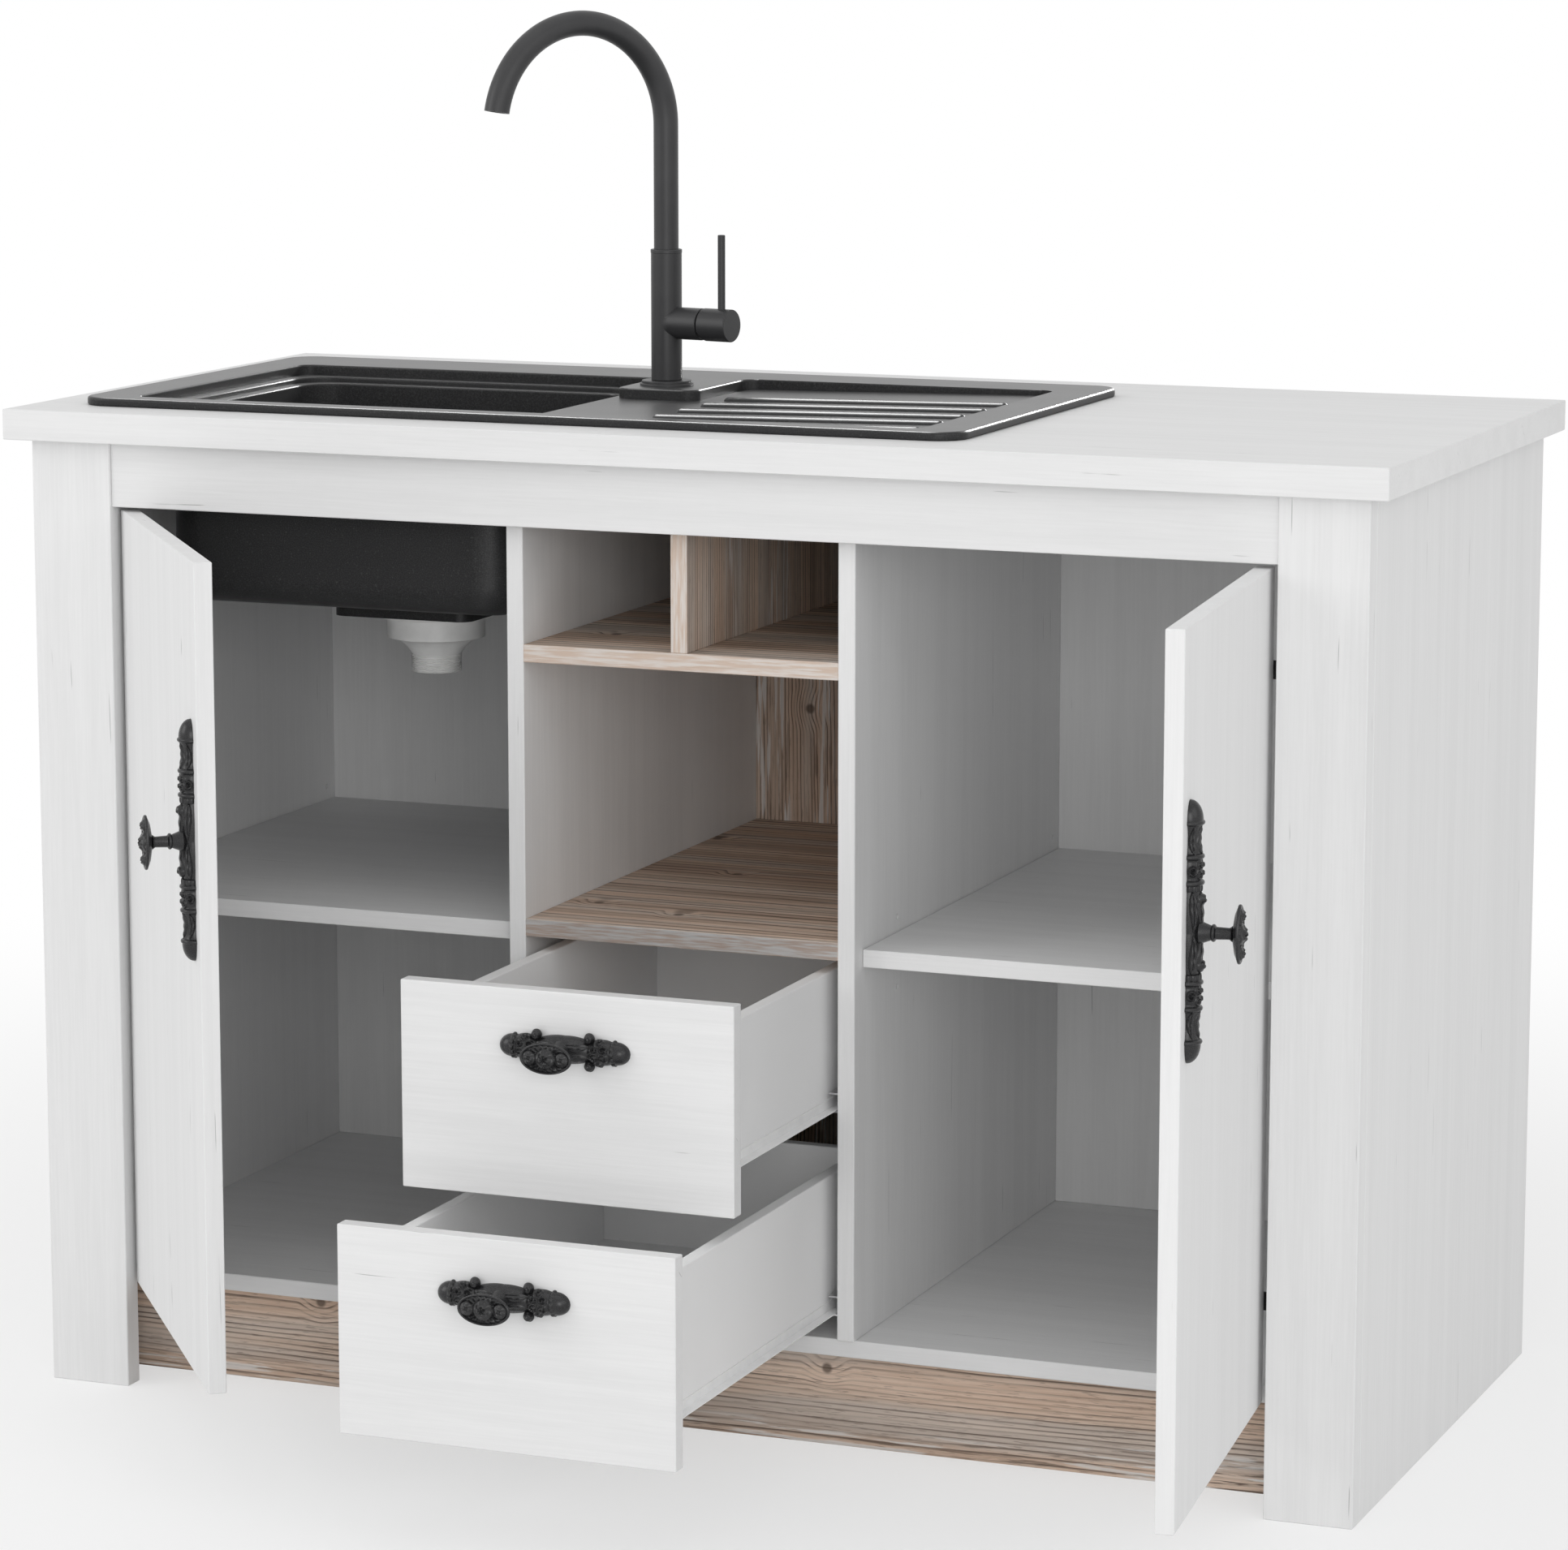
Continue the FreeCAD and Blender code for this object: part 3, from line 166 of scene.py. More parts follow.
class Shader:
    """A node tree that is built up by kind, settings and inputs."""

    def __init__(self, tree):
        self.tree = tree
        tree.nodes.clear()

    def node(self, kind, settings, inputs, output=0):
        made = self.tree.nodes.new(kind)
        for key, value in settings.items():
            setattr(made, key, value)
        for key, value in inputs.items():
            if isinstance(value, Signal):
                self.tree.links.new(value.socket, made.inputs[key])
            else:
                made.inputs[key].default_value = value
        return Signal(self, made.outputs[output])

    def end(self, kind, surface):
        self.tree.links.new(surface.socket, self.tree.nodes.new(kind).inputs["Surface"])

    def place(self):
        """Object coordinates, which are the frame's own metres."""
        return self.node("ShaderNodeTexCoord", {}, {}, "Object")

    def axis(self, index):
        return self.node("ShaderNodeSeparateXYZ", {}, {0: self.place()}, index)

    def across(self, along):
        """Sum of the two coordinates across a grain: either one varies on a board's faces."""
        first, second = (axis for axis in range(3) if axis != along)
        return self.axis(first) + self.axis(second)

    def streaks(self, along, across, length, detail=3.0):
        """Noise from 0 to 1, drawn out along one axis: cells per metre across it and along it."""
        scale = [across] * 3
        scale[along] = length
        spread = self.node("ShaderNodeMapping", {}, {"Vector": self.place(), "Scale": scale})
        return self.node("ShaderNodeTexNoise", {}, {"Vector": spread, "Scale": 1.0, "Detail": detail})

    def noise(self, cells, detail=3.0):
        """Noise from 0 to 1 with as many cells per metre on every axis."""
        return self.streaks(X_AXIS, cells, cells, detail)

    def distance(self, point):
        ends = {0: self.place(), 1: point}
        return self.node("ShaderNodeVectorMath", {"operation": "DISTANCE"}, ends, "Value")

    def seen_directly(self):
        """1 for rays of the camera, of mirrors and of glass, and 0 for those that carry light."""
        camera, glossy, transmitted = (self.node("ShaderNodeLightPath", {}, {}, ray)
                                       for ray in ("Is Camera Ray", "Is Glossy Ray", "Is Transmission Ray"))
        return camera + glossy + transmitted

    def mix(self, factor, first, second):
        """Colour between two others, each a signal or a plain colour."""
        first, second = (tone if isinstance(tone, Signal) else rgb(tone) for tone in (first, second))
        inputs = {MIX_FACTOR: factor, MIX_FIRST: first, MIX_SECOND: second}
        return self.node("ShaderNodeMix", {"data_type": "RGBA"}, inputs, MIX_RESULT)


class Finish(Shader):
    """A material with one Principled shader."""

    def __init__(self, name, specular=0.5, metallic=0.0):
        self.material = bpy.data.materials.new(name)
        self.material.use_nodes = True
        super().__init__(self.material.node_tree)
        self.constants = {"Specular IOR Level": specular, "Metallic": metallic}

    def close(self, color, roughness, bump, height):
        """Joins the varying inputs to the shader and returns the material."""
        relief = self.node("ShaderNodeBump", {}, {"Height": bump, "Distance": height, "Strength": 1.0})
        inputs = {"Base Color": color, "Roughness": roughness, "Normal": relief, **self.constants}
        self.end("ShaderNodeOutputMaterial", self.node("ShaderNodeBsdfPrincipled", {}, inputs))
        return self.material


# Finishes

def white_decor(name, along, colors):
    """White decor board: soft streaks, fine fibres and a few dark hairline cracks along the grain."""
    finish = Finish(name, specular=0.3)
    bands = finish.streaks(along, 45.0, 1.2)
    fibres = finish.streaks(along, 420.0, 14.0, 4.0)
    tone = (bands * 0.55 + fibres * 0.45).rise(0.3, 0.7)
    drift = finish.streaks(along, 3.0, 1.6, 2.0)
    rows = ((finish.across(along) + drift * 0.03) * colors.hairlines_per_metre).fraction()
    dashes = finish.streaks(along, 40.0, 11.0, 2.0).rise(0.65, 0.72)
    cracks = (1 - abs(rows - 0.5).rise(0.008, 0.024)) * dashes
    color = finish.mix(tone, colors.white_shade, colors.white)
    color = finish.mix(cracks * 0.6, color, colors.white_crack)
    return finish.close(color, 0.42 + fibres * 0.16, fibres - cracks * 0.8, 0.00012)


def pine_decor(name, along, colors, knots=(), edge=None, worn_bands=(), fineness=1.5):
    """Weathered pine decor: growth lines bent round knots, grey wash, fibres and worn white streaks.

    The edge is the front's Y with its own colour, worn bands are places across the grain, and fineness
    multiplies the growth lines per metre.
    """
    finish = Finish(name, specular=0.25)
    across = finish.across(along)
    sway = finish.streaks(along, 6.0, 0.9, 2.0)
    ripple = finish.streaks(along, 42.0, 4.0, 3.0)
    phase = (across + sway * 0.05 + ripple * 0.007) * (colors.pine_lines_per_metre * fineness)
    eyes = 0.0
    for knot in knots:
        near = finish.distance(knot)
        phase = phase + (1 - near.rise(0.004, 0.027)) * 1.5
        eyes = eyes + (1 - near.rise(0.003, 0.0065)) * 0.8
    rings = phase.fraction()
    strength = finish.streaks(along, 95.0, 2.4, 4.0).rise(0.36, 0.62)
    lines = rings.rise(0.48, 0.88) * (1 - rings.rise(0.92, 1.0)) * (0.2 + strength * 0.8)
    fibres = finish.streaks(along, 620.0, 18.0, 4.0).rise(0.34, 0.66)
    warmth = finish.streaks(along, 15.0, 0.9, 4.0).rise(0.36, 0.64)
    wash = finish.streaks(along, 30.0, 1.6, 5.0).rise(0.46, 0.62)
    wear = finish.streaks(along, 14.0, 1.8).rise(0.58, 0.68)
    for band in worn_bands:
        wear = wear + (1 - abs(across + ripple * 0.02 - band).rise(0.004, 0.016))
    grit = finish.streaks(along, 240.0, 12.0, 5.0)
    broad = finish.streaks(along, 34.0, 0.8, 5.0).rise(0.42, 0.6)
    pores = finish.streaks(along, 900.0, 55.0, 2.0).rise(0.6, 0.68)
    color = finish.mix(warmth * 0.65 + fibres * 0.35, colors.pine_deep, colors.pine_light)
    color = finish.mix(broad * 0.28, color, colors.pine_line)
    color = finish.mix(wash * 0.4, color, colors.pine_grey)
    color = finish.mix(lines * 0.9, color, colors.pine_line)
    color = finish.mix(pores * 0.4, color, colors.pine_line)
    color = finish.mix(grit.rise(0.52, 0.6) * wear * 0.7, color, colors.pine_worn)
    color = finish.mix((1 - grit.rise(0.34, 0.42)) * wear * 0.6, color, colors.pine_line)
    if knots:
        color = finish.mix(eyes, color, colors.pine_line)
    if edge:
        front, tone = edge
        face = 1 - finish.axis(Y_AXIS).rise(front, front + 0.001)
        nicks = finish.streaks(along, 480.0, 34.0, 3.0).rise(0.36, 0.64)
        dashes = finish.mix(nicks, colors.pine_deep, colors.pine_worn)
        color = finish.mix(face, color, finish.mix(0.42, tone, dashes))
    return finish.close(color, 0.5 + fibres * 0.2, fibres * 0.5 - lines - eyes, 0.0002)


def coated_board(colors):
    """Smooth white coated board of the drawer boxes."""
    finish = Finish("drawer_white_coat", specular=0.3)
    pores = finish.noise(260.0, 2.0)
    cloud = finish.noise(5.0, 2.0)
    color = finish.mix(cloud.rise(0.3, 0.7), colors.coat_shade, colors.coat)
    return finish.close(color, 0.42 + pores * 0.1, pores, 0.00003)


def black_composite(colors):
    """Moulded stone composite: near black with fine pale grains and a satin skin."""
    finish = Finish("black_composite", specular=0.2)
    grains = finish.noise(950.0, 2.0)
    cloud = finish.noise(14.0, 3.0)
    flecks = finish.noise(420.0, 1.0).rise(0.66, 0.74)
    color = finish.mix(grains.rise(0.35, 0.75), colors.sink_dark, colors.sink_grain)
    color = finish.mix(flecks * 0.5, color, colors.sink_fleck)
    return finish.close(color, 0.27 + grains * 0.1 + cloud * 0.06, grains, 0.00002)


def lacquer(name, color, pale, roughness, pits, height):
    """Dark lacquer or powder coat with a fine pitted skin."""
    finish = Finish(name, specular=0.4)
    skin = finish.noise(pits, 3.0)
    cloud = finish.noise(38.0, 2.0)
    tone = finish.mix((skin * 0.5 + cloud * 0.5).rise(0.3, 0.7), color, pale)
    return finish.close(tone, roughness + skin * 0.14 - 0.07, skin, height)


def plastic(name, color, shade, roughness):
    """Moulded plastic with faint clouding."""
    finish = Finish(name, specular=0.4)
    cloud = finish.noise(70.0, 3.0)
    skin = finish.noise(1100.0, 2.0)
    tone = finish.mix(cloud.rise(0.3, 0.7), shade, color)
    return finish.close(tone, roughness + cloud * 0.08, skin, 0.00004)


def metal(name, color, shade, roughness, along):
    """Plated or stainless metal with fine drawn lines."""
    finish = Finish(name, metallic=1.0)
    drawn = finish.streaks(along, 1600.0, 30.0)
    cloud = finish.noise(55.0, 3.0)
    tone = finish.mix((drawn * 0.5 + cloud * 0.5).rise(0.3, 0.7), shade, color)
    return finish.close(tone, roughness + drawn * 0.14 + cloud * 0.08, drawn, 0.00004)


# Mesh building

def spun(profile, steps, closed=False, turn=math.tau):
    """Mesh of (radius, height) points spun about Z."""
    bm = bmesh.new()
    rim = [bm.verts.new((radius, 0, height)) for radius, height in profile]
    edges = [bm.edges.new(pair) for pair in zip(rim, rim[1:])]
    if closed:
        edges.append(bm.edges.new((rim[-1], rim[0])))
    bmesh.ops.spin(bm, geom=rim + edges, cent=(0, 0, 0), axis=(0, 0, 1), angle=turn, steps=steps,
                   use_merge=turn == math.tau)
    tidy(bm)
    return bm


def tidy(bm):
    """Merges doubled points and turns all faces outwards."""
    bmesh.ops.remove_doubles(bm, verts=bm.verts, dist=SAME_POINT)
    bmesh.ops.recalc_face_normals(bm, faces=bm.faces)


def moved(bm, matrix):
    bmesh.ops.transform(bm, matrix=matrix, verts=bm.verts)
    return bm


def aimed(start, direction):
    """Matrix that takes Z at the origin to a direction at a start point."""
    return Matrix.Translation(start) @ Vector(direction).to_track_quat("Z", "Y").to_matrix().to_4x4()


def arc(center, radius, first, last, count):
    """Points on an arc in the (radius, height) plane, with angles in degrees."""
    points = []
    for index in range(count + 1):
        angle = math.radians(first + (last - first) * index / count)
        points.append((center[0] + radius * math.cos(angle), center[1] + radius * math.sin(angle)))
    return points


def pulled(section, start, length, round_over):
    """Straight bar of an (x, z) section that runs along Y, with its edges rounded over."""
    bm = bmesh.new()
    end = bm.faces.new([bm.verts.new((x, start, z)) for x, z in section])
    drawn = bmesh.ops.extrude_face_region(bm, geom=[end])["geom"]
    far = [item for item in drawn if isinstance(item, bmesh.types.BMVert)]
    bmesh.ops.translate(bm, vec=(0, length, 0), verts=far)
    bmesh.ops.recalc_face_normals(bm, faces=bm.faces)
    bmesh.ops.bevel(bm, geom=bm.edges, offset=round_over, offset_type="OFFSET", affect="EDGES", segments=2,
                    profile=0.5, material=-1)
    return bm


def mirrored(bm):
    """The other hand of a mesh, turned over the middle plane."""
    other = moved(bm.copy(), Matrix.Diagonal((-1, 1, 1, 1)))
    bmesh.ops.recalc_face_normals(other, faces=other.faces)
    return other


def joined(*meshes):
    """One mesh of several."""
    whole = bmesh.new()
    for bm in meshes:
        part = bpy.data.meshes.new("part")
        bm.to_mesh(part)
        bm.free()
        whole.from_mesh(part)
        bpy.data.meshes.remove(part)
    return whole


def weigh_normals(shown):
    """Weighs a piece's normals by face area, so that flat faces beside rounded edges stay flat."""
    plain = shown.data
    weights = shown.modifiers.new("weights", "WEIGHTED_NORMAL")
    weights.keep_sharp = True
    seen = shown.evaluated_get(bpy.context.evaluated_depsgraph_get())
    shown.data = bpy.data.meshes.new_from_object(seen)
    shown.modifiers.clear()
    bpy.data.meshes.remove(plain)
    shown.data.name = shown.name


def piece(bm, name, material, body, nodes, crease=CREASE):
    """Shown piece from a mesh: smooth but for creases, riding on a body in place of CAD nodes."""
    for face in bm.faces:
        face.smooth = True
    for edge in bm.edges:
        edge.smooth = len(edge.link_faces) == 2 and edge.calc_face_angle(0.0) < crease
    mesh = bpy.data.meshes.new(name)
    bm.to_mesh(mesh)
    bm.free()
    mesh.materials.append(material)
    shown = bpy.data.objects.new(name, mesh)
    bpy.context.scene.collection.objects.link(shown)
    weigh_normals(shown)
    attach(shown, body)
    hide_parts(*nodes)


def paint(nodes, material):
    """Gives CAD nodes whose shape is right a finish of their own."""
    for node in nodes:
        for slot in frame["nodes"][node].material_slots:
            slot.material = material


def has_room(edge, width):
    """Whether the faces beside an edge are wide enough there for a rounding."""
    for loop in edge.link_loops:
        start, end = loop.vert.co, loop.link_loop_next.vert.co
        for other in loop.face.loops:
            first, last = other.vert.co, other.link_loop_next.vert.co
            if (end - start).dot(last - first) < 0 and (start + end - first - last).length < 2 * width:
                return False
    return True


def eased_copy(node, width, lowest=-1.0):
    """Copy of a CAD node, merged and with its sharp outer edges above a height rounded over."""
    bm = bmesh.new()
    bm.from_mesh(frame["nodes"][node].data)
    bmesh.ops.remove_doubles(bm, verts=bm.verts, dist=SAME_CAD_POINT)
    bmesh.ops.dissolve_limit(bm, angle_limit=FLAT_BELOW, verts=bm.verts, edges=bm.edges)
    edges = [edge for edge in bm.edges if edge.calc_face_angle_signed(0.0) > SHARP_ABOVE
             and min(vert.co.z for vert in edge.verts) > lowest and has_room(edge, ROOM_TO_WIDTH * width)]
    bmesh.ops.bevel(bm, geom=edges, offset=width, offset_type="OFFSET", affect="EDGES", segments=3,
                    profile=0.5, material=-1, clamp_overlap=False)
    tidy(bm)
    return bm


def united(first, second):
    """Solid union of two meshes."""
    shapes = []
    for bm in (first, second):
        mesh = bpy.data.meshes.new("union_part")
        bm.to_mesh(mesh)
        bm.free()
        shapes.append(bpy.data.objects.new("union_part", mesh))
        bpy.context.scene.collection.objects.link(shapes[-1])
    union = shapes[0].modifiers.new("union", "BOOLEAN")
    union.operation = "UNION"
    union.solver = "EXACT"
    union.object = shapes[1]
    whole = bmesh.new()
    whole.from_object(shapes[0], bpy.context.evaluated_depsgraph_get())
    for shape in shapes:
        bpy.data.meshes.remove(shape.data)
    return whole


# Carving, drawn in millimetres

def swell(share):
    """Parabola that is 1 in the middle and 0 at both ends."""
    return 4 * share * (1 - share)


def round_swell(share):
    """Half circle that is 1 in the middle and 0 at both ends."""
    return math.sqrt(max(0.0, 1 - (2 * share - 1) ** 2))


def dome(share):
    """Quarter circle from 1 down to 0."""
    return math.sqrt(max(0.0, 1 - share * share))


def wave(angle):
    """Even wave between 0 and 1, highest at angle 0."""
    return 0.5 + 0.5 * math.cos(angle)


def section_radius(sections, height):
    """Radius of a turned bar at a height above its middle; a section is length, ends, bulge and form."""
    start = 0.0
    for length, first, last, bulge, form in sections:
        if height <= start + length:
            share = (height - start) / length
            if form is dome:
                return first * dome(share)
            return first + (last - first) * share + bulge * form(share)
        start += length
    return 0.0


CARVING_STEP, CARVING_SIDES, CARVED_FROM = 0.6, 84, 0.5


def turned_bar(sections, carve):
    """Half-round bar along Z in millimetres, mirrored about its middle, flat at the back and carved."""
    half = sum(section[0] for section in sections)
    rows = round(half / CARVING_STEP)
    heights = [half * index / rows for index in range(-rows, rows + 1)]
    profile = [(section_radius(sections, abs(height)), height) for height in heights]
    bm = spun(profile, CARVING_SIDES, turn=-math.pi)
    for vert in bm.verts:
        radius = math.hypot(vert.co.x, vert.co.y)
        if radius > CARVED_FROM:
            turn = math.atan2(vert.co.x, -vert.co.y)
            factor = 1 + carve(abs(vert.co.z), turn, radius) / radius
            vert.co.x *= factor
            vert.co.y *= factor
    back = [edge for edge in bm.edges if edge.is_boundary]
    bmesh.ops.holes_fill(bm, edges=back, sides=0)
    bmesh.ops.recalc_face_normals(bm, faces=bm.faces)
    return bm


def scroll(across, along, center, radius, hand, turns=1.6):
    """Height from 0 to 1 of a spiral curl."""
    dx, dz = across - center[0], along - center[1]
    reach = math.hypot(dx, dz) / radius
    if reach >= 1:
        return 0.0
    return wave(hand * math.atan2(dz, dx) + math.tau * turns * reach) * (1 - reach ** 3)


LEAF_POINT, LEAF_RIBS, RIB_SLANT, RIB_DEPTH, VEIN_WIDTH, VEIN_DEPTH = 0.7, 3.5, 0.45, 0.25, 0.16, 0.45


def leaf(across, along, length, width):
    """Height, 1 at most, of a pointed leaf with a sunk middle vein and ribs, from along 0 to its length."""
    share = along / length
    if not 0 < share < 1:
        return 0.0
    half = width * math.sin(math.pi * share ** LEAF_POINT)
    if abs(across) >= half:
        return 0.0
    edge = 1 - (across / half) ** 4
    vein = math.exp(-(across / (VEIN_WIDTH * width)) ** 2)
    ribs = wave(math.tau * (LEAF_RIBS * share + RIB_SLANT * abs(across) / width))
    return edge * (1 - RIB_DEPTH + RIB_DEPTH * ribs) - VEIN_DEPTH * vein


def leaves(across, along, length, form):
    """Strongest of a leaf in front and one on each side; the form is its width, their place and width."""
    width, aside, side_width = form
    return max(leaf(across, along, length, width), leaf(abs(across) - aside, along, length, side_width))


def foliage(across, along, curls):
    """Strongest of several spiral curls, mirrored about the front line."""
    return max(scroll(abs(across), along, center, radius, hand) for center, radius, hand in curls)


def carved(share, relief):
    """Height of a carving in millimetres: its rise over a sunk ground."""
    rise, sunk = relief
    return rise * share - sunk


def faded(inside, length, first, last):
    """1, but fading to 0 over the first and last millimetres of a length."""
    return min(1.0, inside / first, (length - inside) / last)


# A curl is its centre, radius and hand, and a relief its rise and how far its ground is sunk
DOOR_MIDDLE, DOOR_COLLAR, RING, DOOR_BARREL, DOOR_NECK, DOOR_TIP = 33.0, 5.0, 4.0, 17.0, 23.0, 16.0
DOOR_SECTIONS = (
    (DOOR_MIDDLE, 10.6, 9.8, 0.9, swell),
    (DOOR_COLLAR, 10.0, 10.2, 0.5, round_swell),
    (RING, 10.4, 10.4, 2.0, round_swell),
    (DOOR_BARREL, 10.4, 10.4, 0.9, swell),
    (RING, 10.2, 10.2, 2.0, round_swell),
    (DOOR_NECK, 9.8, 9.8, -1.7, swell),
    (RING, 10.0, 10.0, 2.2, round_swell),
    (DOOR_TIP, 10.9, 0.0, 0.0, dome),
)
DOOR_BARREL_START = DOOR_MIDDLE + DOOR_COLLAR + RING
DOOR_NECK_START = DOOR_BARREL_START + DOOR_BARREL + RING
DOOR_LEAVES, DOOR_LEAF_RELIEF = (6.5, 10.5, 4.2), (2.2, 0.9)
DOOR_BEADS, DOOR_BEAD_RELIEF = 7, (0.9, 0.3)
DOOR_CURLS = (((4.2, 4.6), 4.6, 1), ((4.6, 12.4), 4.8, -1), ((12.0, 8.4), 5.4, 1))
DOOR_CURL_RELIEF, DOOR_FADE = (2.3, 0.9), 1.5
NECK_LEAVES, NECK_RISE, NECK_SUNK = (5.2, 9.0, 3.2), 2.0, 0.4
DOOR_SCROLL = (26.5, 8.0, 6.2)

DRAWER_MIDDLE, DRAWER_BARREL, DRAWER_COLLAR, DRAWER_TIP = 24.5, 20.0, 4.0, 12.0
DRAWER_SECTIONS = (
    (DRAWER_MIDDLE, 12.0, 8.4, 1.4, swell),
    (DRAWER_BARREL, 8.4, 9.2, 3.4, round_swell),
    (DRAWER_COLLAR, 9.4, 9.4, 1.6, round_swell),
    (DRAWER_TIP, 10.0, 0.0, 0.0, dome),
)
DRAWER_LEAF_ASIDE, DRAWER_LEAF_WIDTH, DRAWER_LEAF_RISE = 5.5, 4.2, 1.3
DRAWER_BEADS, DRAWER_BEAD_RELIEF = 6, (1.0, 0.5)
DRAWER_CURLS = (((3.8, 5.4), 4.8, 1), ((4.2, 14.2), 5.0, -1), ((11.6, 9.8), 6.0, 1))
DRAWER_CURL_RELIEF, DRAWER_FADE, SADDLE_FADE = (2.4, 1.0), 1.5, 2.5
DRAWER_SCROLL = (12.0, 5.0, 4.9, 0.9)


def door_carving(height, turn, radius):
    """Relief of the door plate: leaves in the middle and on the neck, a beaded collar and a curled barrel."""
    across = turn * radius
    if height < DOOR_MIDDLE:
        return carved(leaves(across, DOOR_MIDDLE - height, DOOR_MIDDLE, DOOR_LEAVES), DOOR_LEAF_RELIEF)
    if height < DOOR_MIDDLE + DOOR_COLLAR:
        return carved(abs(math.cos(turn * DOOR_BEADS)), DOOR_BEAD_RELIEF)
    inside = height - DOOR_BARREL_START
    if 0 < inside < DOOR_BARREL:
        curls = carved(foliage(across, inside, DOOR_CURLS), DOOR_CURL_RELIEF)
        return faded(inside, DOOR_BARREL, DOOR_FADE, DOOR_FADE) * curls
    inside = height - DOOR_NECK_START
    if 0 < inside < DOOR_NECK:
        relief = NECK_RISE, NECK_SUNK * round_swell(inside / DOOR_NECK)
        return carved(leaves(across, inside, DOOR_NECK, NECK_LEAVES), relief)
    return 0.0


def drawer_carving(height, turn, radius):
    """Relief of the drawer plate: long leaves on the saddle, curls on the barrel, beads on the collar."""
    across = turn * radius
    if height < DRAWER_MIDDLE:
        aside = abs(across) - DRAWER_LEAF_ASIDE
        return DRAWER_LEAF_RISE * leaf(aside, DRAWER_MIDDLE - height, DRAWER_MIDDLE, DRAWER_LEAF_WIDTH)
    inside = height - DRAWER_MIDDLE
    if inside < DRAWER_BARREL:
        curls = carved(foliage(across, inside, DRAWER_CURLS), DRAWER_CURL_RELIEF)
        return faded(inside, DRAWER_BARREL, SADDLE_FADE, DRAWER_FADE) * curls
    if inside < DRAWER_BARREL + DRAWER_COLLAR:
        return carved(abs(math.cos(turn * DRAWER_BEADS)), DRAWER_BEAD_RELIEF)
    return 0.0


BALL_ROWS, BALL_CURL, CURL_RISE, CURL_SUNK = 28, 1.4, 0.16, 0.1


def curled_ball(center, radius, squash=1.0):
    """Small boss with a spiral cut into its front, in millimetres; squash flattens it towards the front."""
    bm = bmesh.new()
    bmesh.ops.create_uvsphere(bm, u_segments=SMALL_TURN, v_segments=BALL_ROWS, radius=radius)
    moved(bm, Matrix.Rotation(math.pi / 2, 4, "X"))
    for vert in bm.verts:
        if vert.co.y < 0:
            ridge = scroll(vert.co.x, vert.co.z, (0.0, 0.0), radius, 1, BALL_CURL)
            vert.co *= 1 + CURL_RISE * ridge - CURL_SUNK
    moved(bm, Matrix.Translation(center) @ Matrix.Diagonal((1, squash, 1, 1)))
    return bm


KNOB_LENGTH, KNOB_WIDTH = 24.0, 13.5
KNOB_BACK, KNOB_RIM = 35.5, 41.0
KNOB_EDGE, KNOB_SUNK, KNOB_ROWS, KNOB_FLAT = 1.5, 0.8, 34, 1e-4
KNOB_PETAL_SHARES = (0.62, 0.22, 0.16)
KNOB_TWIST, KNOB_RINGS, KNOB_CROWN = 3.4, 2.2, 0.6
FRINGE_START, FRINGE_END, FRINGE_RISE, FRINGE_BEADS = 0.45, 0.86, 2.2, 22
# A lobe is its centre, radius, rise and number of petals
KNOB_LOBES = ((0.0, 0.0, 9.5, 7.0, 5), (15.0, 0.0, 6.6, 5.2, 4), (-15.0, 0.0, 6.6, 5.2, 4))


def knob_relief(along, across):
    """Carved flowers of the knob's face: a height in millimetres over its floor."""
    height = 0.0
    for x, z, radius, rise, petals in KNOB_LOBES:
        dx, dz = along - x, across - z
        reach = math.hypot(dx, dz) / radius
        if reach < 1:
            cut = wave(petals * math.atan2(dz, dx) + KNOB_TWIST * reach)
            ring = wave(math.tau * KNOB_RINGS * reach)
            floor, petal, circle = KNOB_PETAL_SHARES
            crown = (1 - reach ** 2) ** KNOB_CROWN
            height = max(height, rise * crown * (floor + petal * cut + circle * ring))
    edge = math.hypot(along / KNOB_LENGTH, across / KNOB_WIDTH)
    turn = math.atan2(across / KNOB_WIDTH, along / KNOB_LENGTH)
    if FRINGE_START < edge < FRINGE_END:
        share = (edge - FRINGE_START) / (FRINGE_END - FRINGE_START)
        fringe = wave(FRINGE_BEADS * turn) * math.sin(math.pi * share)
        height = max(height, FRINGE_RISE * fringe)
    return height


def knob_mesh():
    """Knob with a turned stem and an oval carved head, along -Y with its length along Z, in millimetres."""
    stem = [(0.0, 0.5), (9.2, 9.4), (8.6, 11.2), (6.2, 17.6)]
    stem += arc((5.4, 20.2), 1.7, -80, 80, 6)
    stem += [(5.1, 22.4), (4.7, 33.0), (6.4, 35.2), (0.0, KNOB_BACK + 1.2)]
    shaft = spun(stem, STEM_TURN)
    back = [(0.0, KNOB_BACK), (7.0, KNOB_BACK + 0.2), (17.0, KNOB_BACK + 2.0), (22.6, KNOB_RIM - 1.2)]
    rim = arc((KNOB_LENGTH - KNOB_EDGE, KNOB_RIM), KNOB_EDGE, -40, 150, 8)
    inside, edge = rim[-1]
    floor = edge - KNOB_SUNK
    face = [(inside * (1 - index / KNOB_ROWS), floor) for index in range(KNOB_ROWS + 1)]
    head = spun(back + rim + face, FINE_TURN)
    for vert in head.verts:
        vert.co.y *= KNOB_WIDTH / KNOB_LENGTH
        if abs(vert.co.z - floor) < KNOB_FLAT:
            vert.co.z += knob_relief(vert.co.x, vert.co.y)
    bmesh.ops.recalc_face_normals(head, faces=head.faces)
    knob = joined(shaft, head)
    return moved(knob, Matrix.Rotation(math.pi / 2, 4, "X") @ Matrix.Rotation(math.pi / 2, 4, "Z"))


